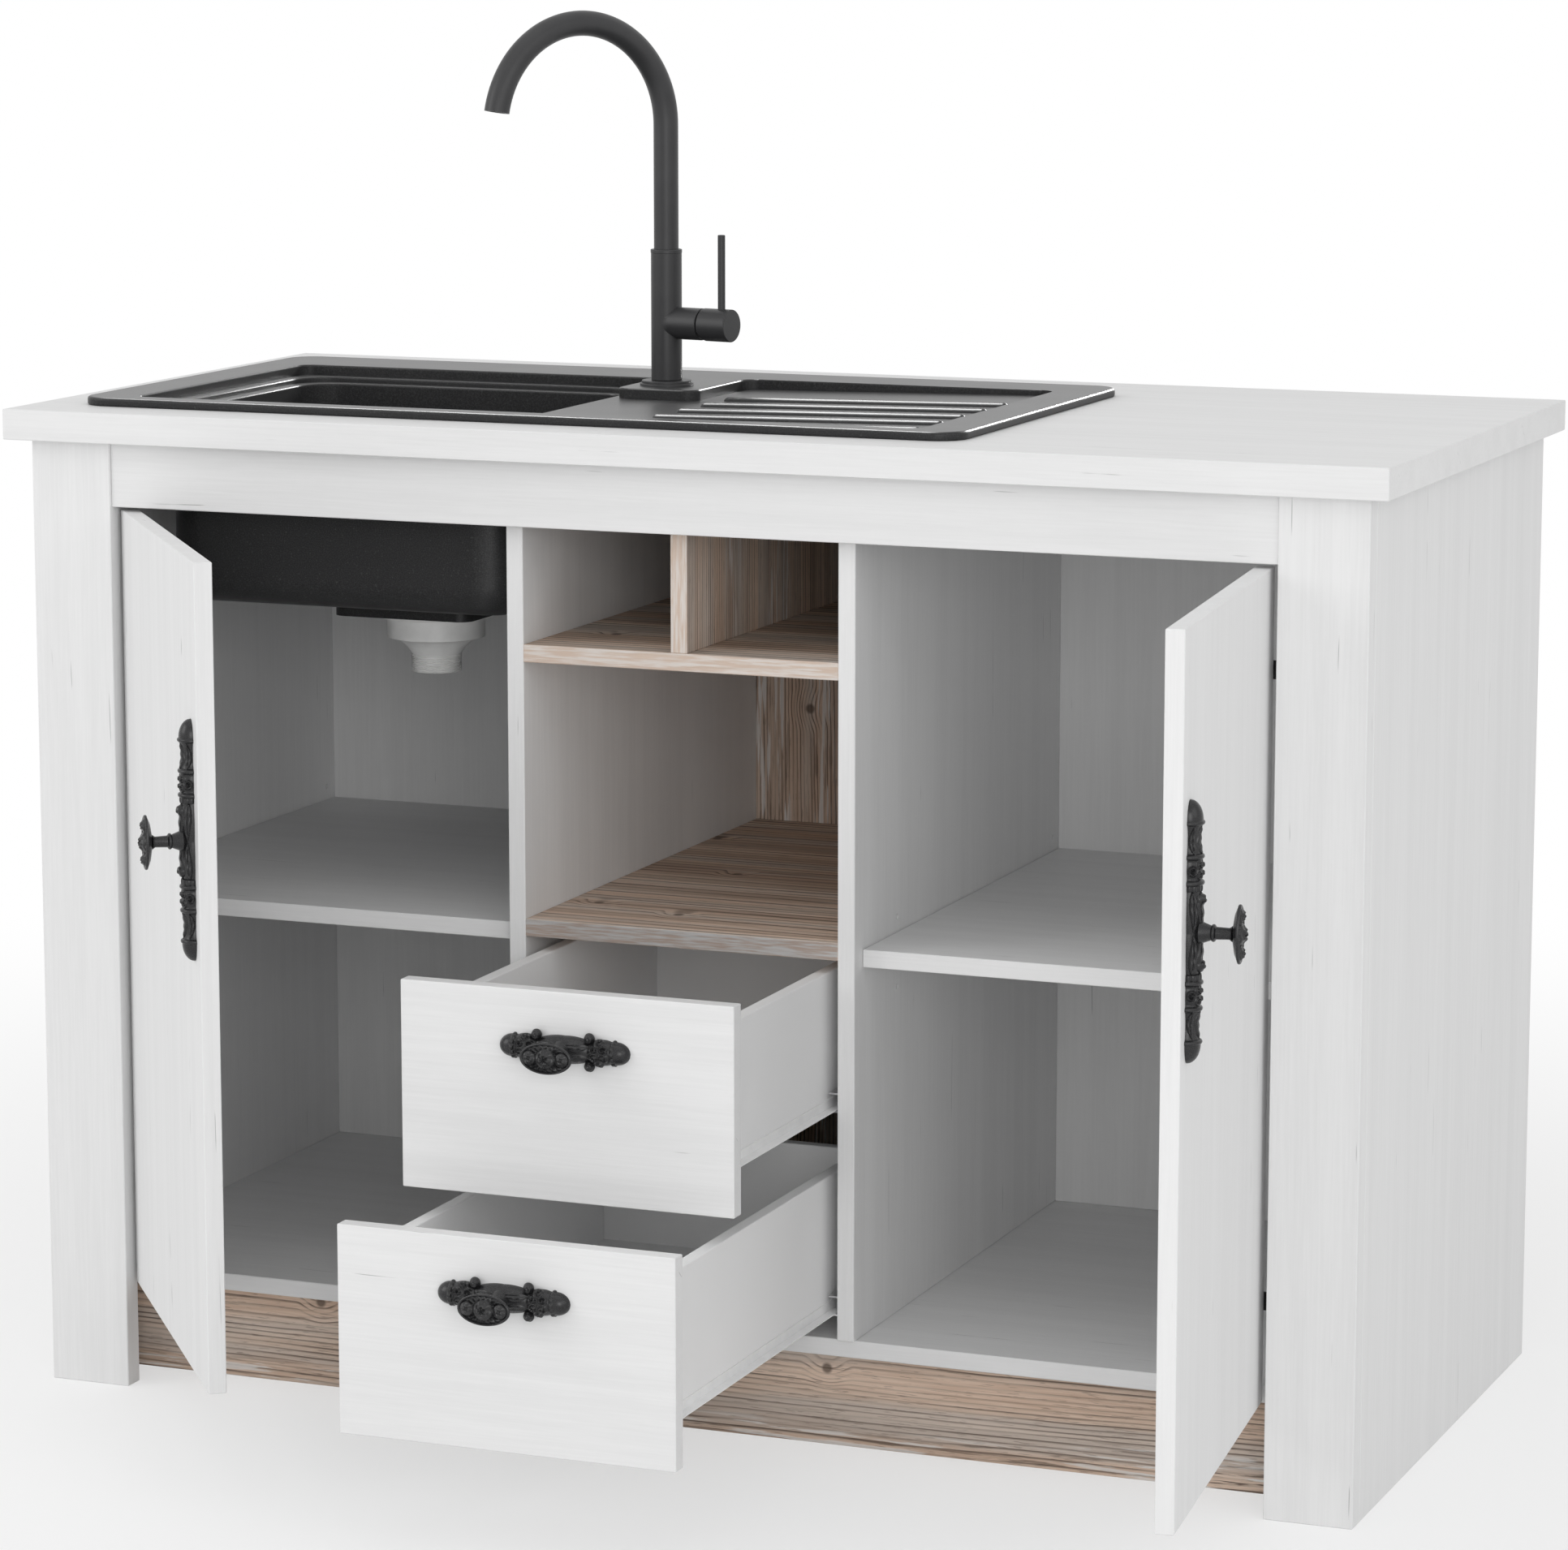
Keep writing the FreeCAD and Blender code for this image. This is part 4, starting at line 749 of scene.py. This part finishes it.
def handle_place(knob_node, opened, level):
    """Matrix from a handle drawn in millimetres on the plane Y = 0 to the front that its knob stands on."""
    turn = Matrix.Rotation(opened, 4, "Z")
    points = [turn.inverted() @ vert.co for vert in frame["nodes"][knob_node].data.vertices]
    lows = [min(point[axis] for point in points) for axis in range(3)]
    highs = [max(point[axis] for point in points) for axis in range(3)]
    foot = Vector(((lows[0] + highs[0]) / 2, highs[1], (lows[2] + highs[2]) / 2))
    lie = Matrix.Rotation(math.pi / 2, 4, "Y") if level else Matrix.Identity(4)
    return turn @ Matrix.Translation(foot) @ lie @ Matrix.Scale(MM, 4)


# Properties

def tint(name, description, default):
    return FloatVectorProperty(name=name, description=description, default=default, subtype="COLOR", size=3,
                               min=0.0, max=1.0)


def extent(name, description, default):
    return FloatProperty(name=name, description=description, default=default, min=0.0,
                         subtype="DISTANCE", unit="LENGTH")


def amount(name, description, default):
    return FloatProperty(name=name, description=description, default=default, min=0.0)


def bearing(name, description, default):
    return FloatProperty(name=name, description=description, default=default,
                         subtype="ANGLE", unit="ROTATION")


class CabinetColors(bpy.types.PropertyGroup):
    """Colours of the finishes."""
    white: tint("White", "Lightest tone of the white decor", (0.8, 0.8, 0.8))
    white_shade: tint("White shade", "Streak tone of the white decor", (0.75, 0.75, 0.75))
    hairlines_per_metre: amount("Hairlines", "Rows of hairline cracks per metre of board", 48.0)
    white_crack: tint("Hairline", "Hairline cracks in the white decor", (0.2, 0.2, 0.2))
    pine_light: tint("Pine light", "Lightest ground of the pine decor", (0.9, 0.735, 0.61))
    pine_deep: tint("Pine deep", "Deepest ground of the pine decor", (0.62, 0.445, 0.335))
    pine_grey: tint("Pine wash", "Grey wash on the pine decor", (0.5, 0.485, 0.465))
    pine_line: tint("Pine line", "Growth lines and knots", (0.11, 0.078, 0.06))
    pine_worn: tint("Pine worn", "Worn white streaks", (0.82, 0.8, 0.78))
    pine_edge: tint("Pine edge", "Pale front edges in the cubby", (0.58, 0.5, 0.44))
    niche_edge: tint("Niche edge", "Grey front edge of the niche shelf", (0.2, 0.2, 0.205))
    pine_lines_per_metre: amount("Growth lines", "Growth lines per metre of board", 170.0)
    sink_dark: tint("Sink", "Ground of the sink's composite", (0.018, 0.018, 0.0185))
    sink_grain: tint("Sink grain", "Fine grains in the composite", (0.037, 0.037, 0.038))
    sink_fleck: tint("Sink fleck", "Sparse pale flecks", (0.06, 0.06, 0.06))
    iron: tint("Handle iron", "Black lacquer of the handles", (0.011, 0.011, 0.012))
    iron_pale: tint("Handle worn", "Rubbed tone of the handles", (0.02, 0.02, 0.021))
    tap: tint("Tap", "Matte coat of the tap", (0.028, 0.028, 0.0295))
    tap_pale: tint("Tap pale", "Lighter tone of the tap's coat", (0.038, 0.038, 0.0395))
    waste: tint("Waste plastic", "White plastic of the waste", (0.88, 0.88, 0.87))
    waste_shade: tint("Waste shade", "Clouding of the waste plastic", (0.82, 0.82, 0.81))
    steel: tint("Steel", "Plated and stainless steel", (0.62, 0.62, 0.63))
    steel_shade: tint("Steel shade", "Drawn lines in the steel", (0.5, 0.5, 0.51))
    # Painted shade: these near-black tones of the hinge arms stand in for the shade in the gap beside the
    # doors
    hinge_painted_shade: tint("Dark steel", "Burnished steel of the hinge arms", (0.055, 0.055, 0.055))
    hinge_painted_shade_lines: tint("Dark shade", "Drawn lines in the dark steel", (0.042, 0.042, 0.042))
    coat: tint("Drawer coat", "White coat of the drawer boxes", (0.88, 0.88, 0.88))
    coat_shade: tint("Drawer coat shade", "Clouding of the drawer coat", (0.84, 0.84, 0.84))
    brass: tint("Brass", "Machined brass", (0.7, 0.55, 0.3))
    brass_shade: tint("Brass shade", "Turned lines in the brass", (0.58, 0.44, 0.22))
    floor: tint("Floor", "Pale floor of the stage", (0.86, 0.86, 0.86))


class CabinetSizes(bpy.types.PropertyGroup):
    """Sizes of the fittings that are modelled here."""
    sink_ease: extent("Sink edges", "Rounding of the sink's edges", 0.002)
    steel_ease: extent("Steel edges", "Rounding of the drain's steel edges", 0.0002)
    waste_ridges: amount("Thread ridges", "Ridges on the waste outlet", 8)
    waste_ridge: extent("Ridge depth", "Depth of the outlet's thread", 0.0011)
    waste_wall: extent("Waste wall", "Wall of the waste cup", 0.0035)
    waste_soft: extent("Waste fillet", "Rounding under the cup's flange", 0.0012)
    waste_edge: extent("Waste edge", "Chamfer of the cup's flange", 0.0008)
    waste_band: extent("Waste band", "Straight band over the cup's curve", 0.002)
    waste_lip: extent("Waste lip", "Thickness of the cup's flange", 0.003)
    waste_cup: extent("Waste cup", "Radius of the cup under the bowl", 0.0465)
    waste_cup_height: extent("Cup height", "Straight side of the cup", 0.020)
    outlet: extent("Outlet", "Radius of the threaded outlet", 0.0239)
    outlet_length: extent("Outlet length", "Length of the threaded outlet", 0.0165)
    tap_body: extent("Tap body", "Radius of the tap's body", 0.0145)
    tap_soft: extent("Tap edges", "Rounding of the tap's edges", 0.0009)
    tap_lip: extent("Tap lip", "How far the lip round the spout stands out", 0.0003)
    tap_play: extent("Tap play", "Clearance between the tap's pieces", 0.00008)
    tap_arm: extent("Tap arm", "Radius of the side arm", 0.0150)
    tap_arm_reach: extent("Arm reach", "Side arm's end from the tap's axis", 0.041)
    shank: extent("Shank", "Radius of the threaded shank", 0.0140)
    shank_bore: extent("Shank bore", "Bore of the shank", 0.0090)
    shank_length: extent("Shank length", "Thread below the sink", 0.044)
    thread_pitch: extent("Thread pitch", "Pitch of the shank's thread", 0.002)
    spout: extent("Spout", "Radius of the spout tube", 0.0116)
    spout_socket: extent("Spout socket", "Depth of the spout's socket", 0.030)
    core_stem: extent("Core stem", "Radius of the mixing core's stem", 0.0048)
    core_seat: extent("Core seat", "Depth of the stem's seat in the arm", 0.015)
    rod: extent("Lever rod", "Radius of the lever's rod", 0.0035)
    slide_sheet: extent("Slide sheet", "Thickness of the drawer slides' folded sheet", 0.001)
    slide_leg: extent("Slide leg", "Height of the slide on the drawer's side", 0.009)
    roller: extent("Roller", "Radius of the slide's roller", 0.007)
    roller_width: extent("Roller width", "Width of the slide's roller", 0.0065)


class CabinetStage(bpy.types.PropertyGroup):
    """Camera and light."""
    camera_place: FloatVectorProperty(name="Camera place", description="Where the camera stands",
                                      default=(1.82827, -4.90263, 1.41485), subtype="TRANSLATION",
                                      unit="LENGTH", size=3)
    camera_yaw: bearing("Camera yaw", "Turn of the view to the left of straight on", 0.37984)
    camera_pitch: bearing("Camera pitch", "Tilt of the view below level", 0.16863)
    focal_pixels: amount("Focal length", "Focal length in pixels of the picture", 6615.53)
    ambient: amount("Ambient", "Strength of the even light all round", 0.67)
    left_power: amount("Left light", "Power of the soft light on the left", 48.0)
    right_power: amount("Right light", "Power of the soft light on the right", 21.0)
    front_power: amount("Front light", "Power of the soft light in front", 39.0)
    top_power: amount("Top light", "Power of the soft light above", 10.0)
    gloss_power: amount("Gloss light", "Power of the light that shows only as highlights", 420.0)
    rim_power: amount("Rim light", "Power of the light behind that edges the sink's rim", 180.0)


# Operators

class CABINET_OT_boards(bpy.types.Operator):
    """White and pine decor on every board"""
    bl_idname = "cabinet.boards"
    bl_label = "Boards"

    def execute(self, context):
        colors = context.scene.cabinet_colors
        paint(UPRIGHT_WHITE, white_decor("white_decor_upright", Z_AXIS, colors))
        paint(LEVEL_WHITE, white_decor("white_decor_level", X_AXIS, colors))
        self.pine(colors)
        coat = coated_board(colors)
        for drawer in DRAWERS:
            paint([f"{drawer}_{board}" for board in ("left_side", "right_side", "back", "bottom")], coat)
        return {"FINISHED"}

    def pine(self, colors):
        """Pine boards, each with knots and worn bands of its own."""
        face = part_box("plinth_board")[0].y
        knots = self.knots(PLINTH_KNOTS, Y_AXIS, face)
        paint(["plinth_board"], pine_decor("pine_plinth", X_AXIS, colors, knots,
                                           worn_bands=[face + PLINTH_WEAR], fineness=1.0))
        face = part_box("center_back_panel")[0].y
        knots = self.knots(BACK_KNOTS, Y_AXIS, face)
        paint(["center_back_panel"], pine_decor("pine_back", Z_AXIS, colors, knots,
                                                worn_bands=[face + x for x in BACK_WEAR]))
        low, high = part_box("cubby_divider")
        paint(["cubby_divider"], pine_decor("pine_divider", Z_AXIS, colors, edge=(low.y, colors.pine_edge),
                                            worn_bands=[high.x + y for y in DIVIDER_WEAR]))
        for shelf, knots, tone in (("cubby_shelf", CUBBY_KNOTS, colors.pine_edge),
                                   ("niche_shelf", NICHE_KNOTS, colors.niche_edge)):
            low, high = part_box(shelf)
            paint([shelf], pine_decor(f"pine_{shelf}", X_AXIS, colors, self.knots(knots, Z_AXIS, high.z),
                                      (low.y, tone), fineness=0.5))

    def knots(self, places, axis, face):
        """Knot centres from their two places on a face that is square to an axis."""
        return [(*place[:axis], face, *place[axis:]) for place in places]


class CABINET_OT_fittings(bpy.types.Operator):
    """Steel hinges, runners and shelf pins, and the brass inside the tap"""
    bl_idname = "cabinet.fittings"
    bl_label = "Fittings"

    def execute(self, context):
        colors = context.scene.cabinet_colors
        paint(STEEL_NODES, metal("zinc_plated_steel", colors.steel, colors.steel_shade, 0.22, Y_AXIS))
        # Painted shade: the hinge arms are made near black to stand in for the shade in the gap beside the
        # doors
        paint(PAINTED_SHADE_HINGE_NODES, metal("dark_hinge_steel", colors.hinge_painted_shade, colors.hinge_painted_shade_lines, 0.3, Y_AXIS))
        paint(BRASS_NODES, metal("machined_brass", colors.brass, colors.brass_shade, 0.25, Z_AXIS))
        coat = plastic("white_slide_coat", colors.coat, colors.coat_shade, 0.4)
        for drawer in DRAWERS:
            slide = self.slide(context.scene.cabinet_sizes, drawer)
            piece(joined(slide, mirrored(slide)), f"{drawer}_roller_slides", coat, drawer,
                  [f"{drawer}_slides"])
        return {"FINISHED"}

    def slide(self, sizes, drawer):
        """Folded slide on the right side of a drawer box, with the roller that runs in the runner."""
        low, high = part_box(f"{drawer}_slides")
        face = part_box(f"{drawer}_right_side")[1].x
        sheet, radius, width = sizes.slide_sheet, sizes.roller, sizes.roller_width
        flange = high.x - sheet
        leg, fold = low.z + sizes.slide_leg, low.z + sheet
        section = [(face, low.z), (face, leg), (face + sheet, leg), (face + sheet, fold), (flange, fold),
                   (flange, low.z)]
        bar = pulled(section, low.y, high.y - low.y - 2 * radius, sheet / 4)
        soft, hub, dish = width / 5, radius / 3, radius / 2
        wheel = [(0, 0), (hub, 0), (hub, soft), (radius - soft, soft), (radius, 2 * soft),
                 (radius, width - soft), (radius - soft, width), (dish, width), (dish, width - soft),
                 (0, width - soft)]
        axle = Vector((flange - width, high.y - radius, low.z + radius))
        return joined(bar, moved(spun(wheel, SMALL_TURN), aimed(axle, (1, 0, 0))))


class CABINET_OT_handles(bpy.types.Operator):
    """Carved iron handles of the doors and drawers"""
    bl_idname = "cabinet.handles"
    bl_label = "Handles"

    def execute(self, context):
        colors = context.scene.cabinet_colors
        iron = lacquer("black_iron_lacquer", colors.iron, colors.iron_pale, roughness=0.27, pits=1500.0,
                       height=0.00005)
        along, out, radius = DOOR_SCROLL
        left_open = math.radians(JOINTS["left_door_hinge"]["range_deg"][0])
        right_open = -math.radians(JOINTS["right_door_hinge"]["range_deg"][0])
        for name, opened in (("left", left_open), ("right", right_open)):
            bosses = [curled_ball((0, -out, way * along), radius) for way in (-1, 1)]
            plate = joined(turned_bar(DOOR_SECTIONS, door_carving), *bosses)
            self.handle(plate, name, f"{name}_door", iron, opened, False)
        aside, out, radius, squash = DRAWER_SCROLL
        for drawer in DRAWERS:
            bosses = [curled_ball((across, -out, way * DRAWER_MIDDLE), radius, squash)
                      for across in (-aside, aside) for way in (-1, 1)]
            plate = joined(turned_bar(DRAWER_SECTIONS, drawer_carving), *bosses)
            self.handle(plate, drawer, drawer, iron, 0.0, True)
        return {"FINISHED"}

    def handle(self, plate, name, body, iron, opened, level):
        """Carved plate and knob of one handle, in the place of the CAD ones."""
        place = handle_place(f"{name}_handle_knob", opened, level)
        for mesh, form in ((plate, "plate"), (knob_mesh(), "knob")):
            piece(moved(mesh, place), f"{name}_carved_{form}", iron, body, [f"{name}_handle_{form}"])


class CABINET_OT_sink(bpy.types.Operator):
    """Black composite sink with softened edges"""
    bl_idname = "cabinet.sink"
    bl_label = "Sink"

    def execute(self, context):
        colors = context.scene.cabinet_colors
        sizes = context.scene.cabinet_sizes
        bm = eased_copy("sink", sizes.sink_ease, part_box("worktop")[0].z)
        piece(bm, "moulded_sink", black_composite(colors), "cabinet", ["sink"],
              FINE_CREASE)
        return {"FINISHED"}


class CABINET_OT_waste(bpy.types.Operator):
    """Waste cup with threaded outlet, drain flange and strainer basket"""
    bl_idname = "cabinet.waste"
    bl_label = "Waste"

    def execute(self, context):
        colors = context.scene.cabinet_colors
        sizes = context.scene.cabinet_sizes
        white = plastic("white_waste_plastic", colors.waste, colors.waste_shade, 0.35)
        piece(self.cup(sizes), "threaded_waste_cup", white, "cabinet", ["waste_body"])
        stainless = metal("stainless_steel", colors.steel, colors.steel_shade, 0.16, Z_AXIS)
        piece(eased_copy("waste_flange", sizes.steel_ease), "drain_flange", stainless, "cabinet",
              ["waste_flange"])
        piece(eased_copy("basket_strainer", sizes.steel_ease), "strainer_basket", stainless, "strainer",
              ["basket_strainer"])
        return {"FINISHED"}

    def cup(self, sizes):
        """Flanged cup that curves in to a threaded outlet."""
        low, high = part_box("waste_body")
        flange = (high.x - low.x) / 2
        lip = high.z - sizes.waste_lip
        shoulder = lip - sizes.waste_cup_height
        neck = low.z + sizes.outlet_length
        outside = []
        rows = int(sizes.waste_ridges) * RIDGE_STEPS
        for index in range(rows + 1):
            radius = sizes.outlet - sizes.waste_ridge * wave(math.tau * index / RIDGE_STEPS)
            outside.append((radius, low.z + sizes.outlet_length * index / rows))
        for index in range(1, CUP_STEPS + 1):
            turn = math.pi / 2 * index / CUP_STEPS
            radius = sizes.outlet + (sizes.waste_cup - sizes.outlet) * (1 - math.cos(turn)) ** CUP_FLARE
            outside.append((radius, neck + (shoulder - neck) * math.sin(turn) ** CUP_RISE))
        soft, edge = sizes.waste_soft, sizes.waste_edge
        outside += [(sizes.waste_cup, shoulder + sizes.waste_band), (sizes.waste_cup, lip - soft)]
        outside += arc((sizes.waste_cup + soft, lip - soft), soft, 180, 90, 3)
        outside += [(flange - edge, lip), (flange, lip + edge), (flange, high.z)]
        wall = sizes.waste_wall
        bore, cup = sizes.outlet - wall, sizes.waste_cup - wall
        inside = [(cup, high.z), (cup, shoulder + wall), (bore, neck + wall), (bore, low.z)]
        bm = spun(outside + inside, FINE_TURN, closed=True)
        return moved(bm, Matrix.Translation(((low.x + high.x) / 2, (low.y + high.y) / 2, 0)))


class CABINET_OT_tap(bpy.types.Operator):
    """Matte black mixer tap"""
    bl_idname = "cabinet.tap"
    bl_label = "Tap"

    def execute(self, context):
        colors = context.scene.cabinet_colors
        sizes = context.scene.cabinet_sizes
        coat = lacquer("matte_black_coat", colors.tap, colors.tap_pale, roughness=0.42, pits=2200.0,
                       height=0.00003)
        paint(["spout", "lever_cap"], coat)
        ring_low, ring_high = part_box("tap_base_ring")
        axis = Matrix.Translation(((ring_low.x + ring_high.x) / 2, (ring_low.y + ring_high.y) / 2, 0))
        piece(moved(self.ring(sizes, ring_low, ring_high), axis), "stepped_base_ring", coat, "cabinet",
              ["tap_base_ring"])
        hub = axis @ Vector((0, 0, JOINTS["mixer_turn"]["pos_m"][2]))
        arm = moved(self.arm(sizes), aimed(hub, JOINTS["mixer_turn"]["axis"]))
        body = united(moved(self.body(sizes, ring_high.z), axis), arm)
        piece(body, "tap_column", coat, "cabinet", ["tap_body"], FINE_CREASE)
        low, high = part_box("lever_rod")
        tip = sizes.rod * ROD_TIP
        rod = [(0, low.z), (sizes.rod, low.z), (sizes.rod, high.z - tip)]
        rod += arc((sizes.rod - tip, high.z - tip), tip, 0, 90, 4)[1:] + [(0, high.z)]
        middle = (low + high) / 2
        piece(moved(spun(rod, SMALL_TURN), Matrix.Translation((middle.x, middle.y, 0))), "lever_pin", coat,
              "lever", ["lever_rod"])
        paint(["aerator"], plastic("black_aerator_plastic", colors.tap_pale, colors.tap, 0.5))
        return {"FINISHED"}

    def ring(self, sizes, low, high):
        """Base ring in two thin steps with rounded shoulders."""
        radius = (high.x - low.x) / 2
        middle = (low.z + high.z) / 2
        soft = sizes.tap_soft
        inner = radius - 2 * soft
        profile = [(sizes.shank + sizes.tap_play, low.z), (radius, low.z), (radius, middle - soft)]
        profile += arc((radius - soft, middle - soft), soft, 0, 90, 4)[1:]
        profile += [(inner, middle), (inner, high.z - soft)]
        profile += arc((inner - soft, high.z - soft), soft, 0, 90, 4)[1:]
        profile += [(sizes.shank + sizes.tap_play, high.z)]
        return spun(profile, FINE_TURN, closed=True)

    def body(self, sizes, foot):
        """Column on a threaded shank, with a lip round the socket of the spout."""
        low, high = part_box("tap_body")
        radius, soft, lip = sizes.tap_body, sizes.tap_soft, sizes.tap_lip
        socket = sizes.spout + sizes.tap_play
        profile = [(0, foot), (sizes.shank_bore, foot), (sizes.shank_bore, low.z)]
        turns = int(sizes.shank_length / sizes.thread_pitch)
        for index in range(2 * turns + 1):
            cut = sizes.thread_pitch / 3 * (1 - index % 2)
            profile.append((sizes.shank - cut, low.z + index * sizes.thread_pitch / 2))
        profile += [(sizes.shank, foot), (radius - soft, foot)]
        profile += arc((radius - soft, foot + soft), soft, -90, 0, 4)[1:]
        profile += [(radius, high.z - 4 * soft), (radius + lip, high.z - 4 * soft + lip),
                    (radius + lip, high.z - soft)]
        profile += arc((radius + lip - soft, high.z - soft), soft, 0, 90, 4)[1:]
        profile += [(socket, high.z), (socket, high.z - sizes.spout_socket), (0, high.z - sizes.spout_socket)]
        return spun(profile, FINE_TURN)

    def arm(self, sizes):
        """Side arm that swells a little from inside the column, with a seat for the mixing core's stem."""
        radius, soft, reach = sizes.tap_arm, sizes.tap_soft, sizes.tap_arm_reach
        root = sizes.tap_body - sizes.tap_lip
        seat = sizes.core_stem + sizes.tap_play
        start, end = (sizes.tap_body * share for share in ARM_SWELL)
        profile = [(0, 0), (root, 0), (root, start), (radius, end), (radius, reach - soft)]
        profile += arc((radius - soft, reach - soft), soft, 0, 90, 4)[1:]
        profile += [(seat, reach), (seat, reach - sizes.core_seat), (0, reach - sizes.core_seat)]
        return spun(profile, ARM_TURN)


class CABINET_OT_stage(bpy.types.Operator):
    """Pale floor, soft lights and the camera"""
    bl_idname = "cabinet.stage"
    bl_label = "Stage"

    def execute(self, context):
        scene = context.scene
        stage = scene.cabinet_stage
        scene.view_settings.view_transform = "Standard"
        self.make_floor(scene)
        self.make_world(scene, stage)
        for name, (place, size) in SOFT_LIGHTS.items():
            self.make_light(scene, name, place, size)
        glossy = bpy.data.collections.new("glossy_pieces")
        glossy.objects.link(scene.objects["moulded_sink"])
        for name, (place, size) in GLOSS_LIGHTS.items():
            light = self.make_light(scene, name, place, size)
            light.visible_camera = False
            light.visible_diffuse = False
            light.light_linking.receiver_collection = glossy
        self.make_camera(scene, stage)
        return {"FINISHED"}

    def make_camera(self, scene, stage):
        """Camera at the photograph's viewing angle."""
        camera = bpy.data.cameras.new("photo_camera")
        camera.sensor_width = SENSOR
        camera.lens = stage.focal_pixels * SENSOR / PHOTO_WIDTH
        camera.clip_end = FAR_CLIP
        eye = bpy.data.objects.new("photo_camera", camera)
        eye.location = stage.camera_place
        eye.rotation_euler = (math.pi / 2 - stage.camera_pitch, 0.0, stage.camera_yaw)
        scene.collection.objects.link(eye)
        scene.camera = eye

    def make_light(self, scene, name, place, size):
        """Square soft light that faces the object, with the power that the stage gives it."""
        lamp = bpy.data.lights.new(f"{name}_light", "AREA")
        lamp.energy = getattr(scene.cabinet_stage, f"{name}_power")
        lamp.size = size
        shown = bpy.data.objects.new(f"{name}_light", lamp)
        shown.location = place
        aim = (CAD_BOX[0] + CAD_BOX[1]) / 2
        shown.rotation_euler = (aim - shown.location).to_track_quat("-Z", "Y").to_euler()
        scene.collection.objects.link(shown)
        return shown

    def make_floor(self, scene):
        """Round pale floor that fades to white away from the object."""
        bm = bmesh.new()
        bmesh.ops.create_circle(bm, cap_ends=True, segments=FINE_TURN, radius=FLOOR_RADIUS)
        mesh = bpy.data.meshes.new("pale_floor")
        bm.to_mesh(mesh)
        bm.free()
        floor = bpy.data.objects.new("pale_floor", mesh)
        scene.collection.objects.link(floor)
        material = bpy.data.materials.new("pale_floor")
        material.use_nodes = True
        shader = Shader(material.node_tree)
        far = shader.distance(FLOOR_MIDDLE).rise(FADE_START, FADE_END)
        pale = NEAR_WHITE + far * (1 - NEAR_WHITE)
        seen = shader.seen_directly()
        near = shader.node("ShaderNodeBsdfDiffuse", {}, {"Color": rgb(scene.cabinet_colors.floor)})
        white = shader.node("ShaderNodeEmission", {}, {"Color": WHITE, "Strength": 1.0})
        surface = shader.node("ShaderNodeMixShader", {}, {0: pale * seen, 1: near, 2: white})
        shader.end("ShaderNodeOutputMaterial", surface)
        mesh.materials.append(material)

    def make_world(self, scene, stage):
        """Even light all round, seen as plain white by the camera and in reflections."""
        world = bpy.data.worlds.new("soft_room")
        world.use_nodes = True
        scene.world = world
        shader = Shader(world.node_tree)
        seen = shader.seen_directly()
        light = shader.node("ShaderNodeBackground", {}, {"Color": WHITE, "Strength": stage.ambient})
        white = shader.node("ShaderNodeBackground", {}, {"Color": WHITE, "Strength": 1.0})
        surface = shader.node("ShaderNodeMixShader", {}, {0: seen, 1: light, 2: white})
        shader.end("ShaderNodeOutputWorld", surface)


class CABINET_PT_panel(bpy.types.Panel):
    """Lists the steps that dress the cabinet"""
    bl_idname = "CABINET_PT_panel"
    bl_label = "Sink base cabinet"
    bl_space_type = "VIEW_3D"
    bl_region_type = "UI"
    bl_category = "Cabinet"

    def draw(self, context):
        for step in STEPS:
            self.layout.operator(step.bl_idname)


STEPS = (CABINET_OT_boards, CABINET_OT_fittings, CABINET_OT_handles, CABINET_OT_sink, CABINET_OT_waste,
         CABINET_OT_tap, CABINET_OT_stage)
GROUPS = {"cabinet_colors": CabinetColors, "cabinet_sizes": CabinetSizes, "cabinet_stage": CabinetStage}


def register():
    for name, group in GROUPS.items():
        bpy.utils.register_class(group)
        setattr(bpy.types.Scene, name, PointerProperty(type=group))
    for step in (*STEPS, CABINET_PT_panel):
        bpy.utils.register_class(step)


def unregister():
    for step in (CABINET_PT_panel, *reversed(STEPS)):
        bpy.utils.unregister_class(step)
    for name, group in GROUPS.items():
        delattr(bpy.types.Scene, name)
        bpy.utils.unregister_class(group)


def main():
    register()
    bpy.ops.cabinet.boards()
    bpy.ops.cabinet.fittings()
    bpy.ops.cabinet.handles()
    bpy.ops.cabinet.sink()
    bpy.ops.cabinet.waste()
    bpy.ops.cabinet.tap()
    bpy.ops.cabinet.stage()


if __name__ == "__main__":
    main()
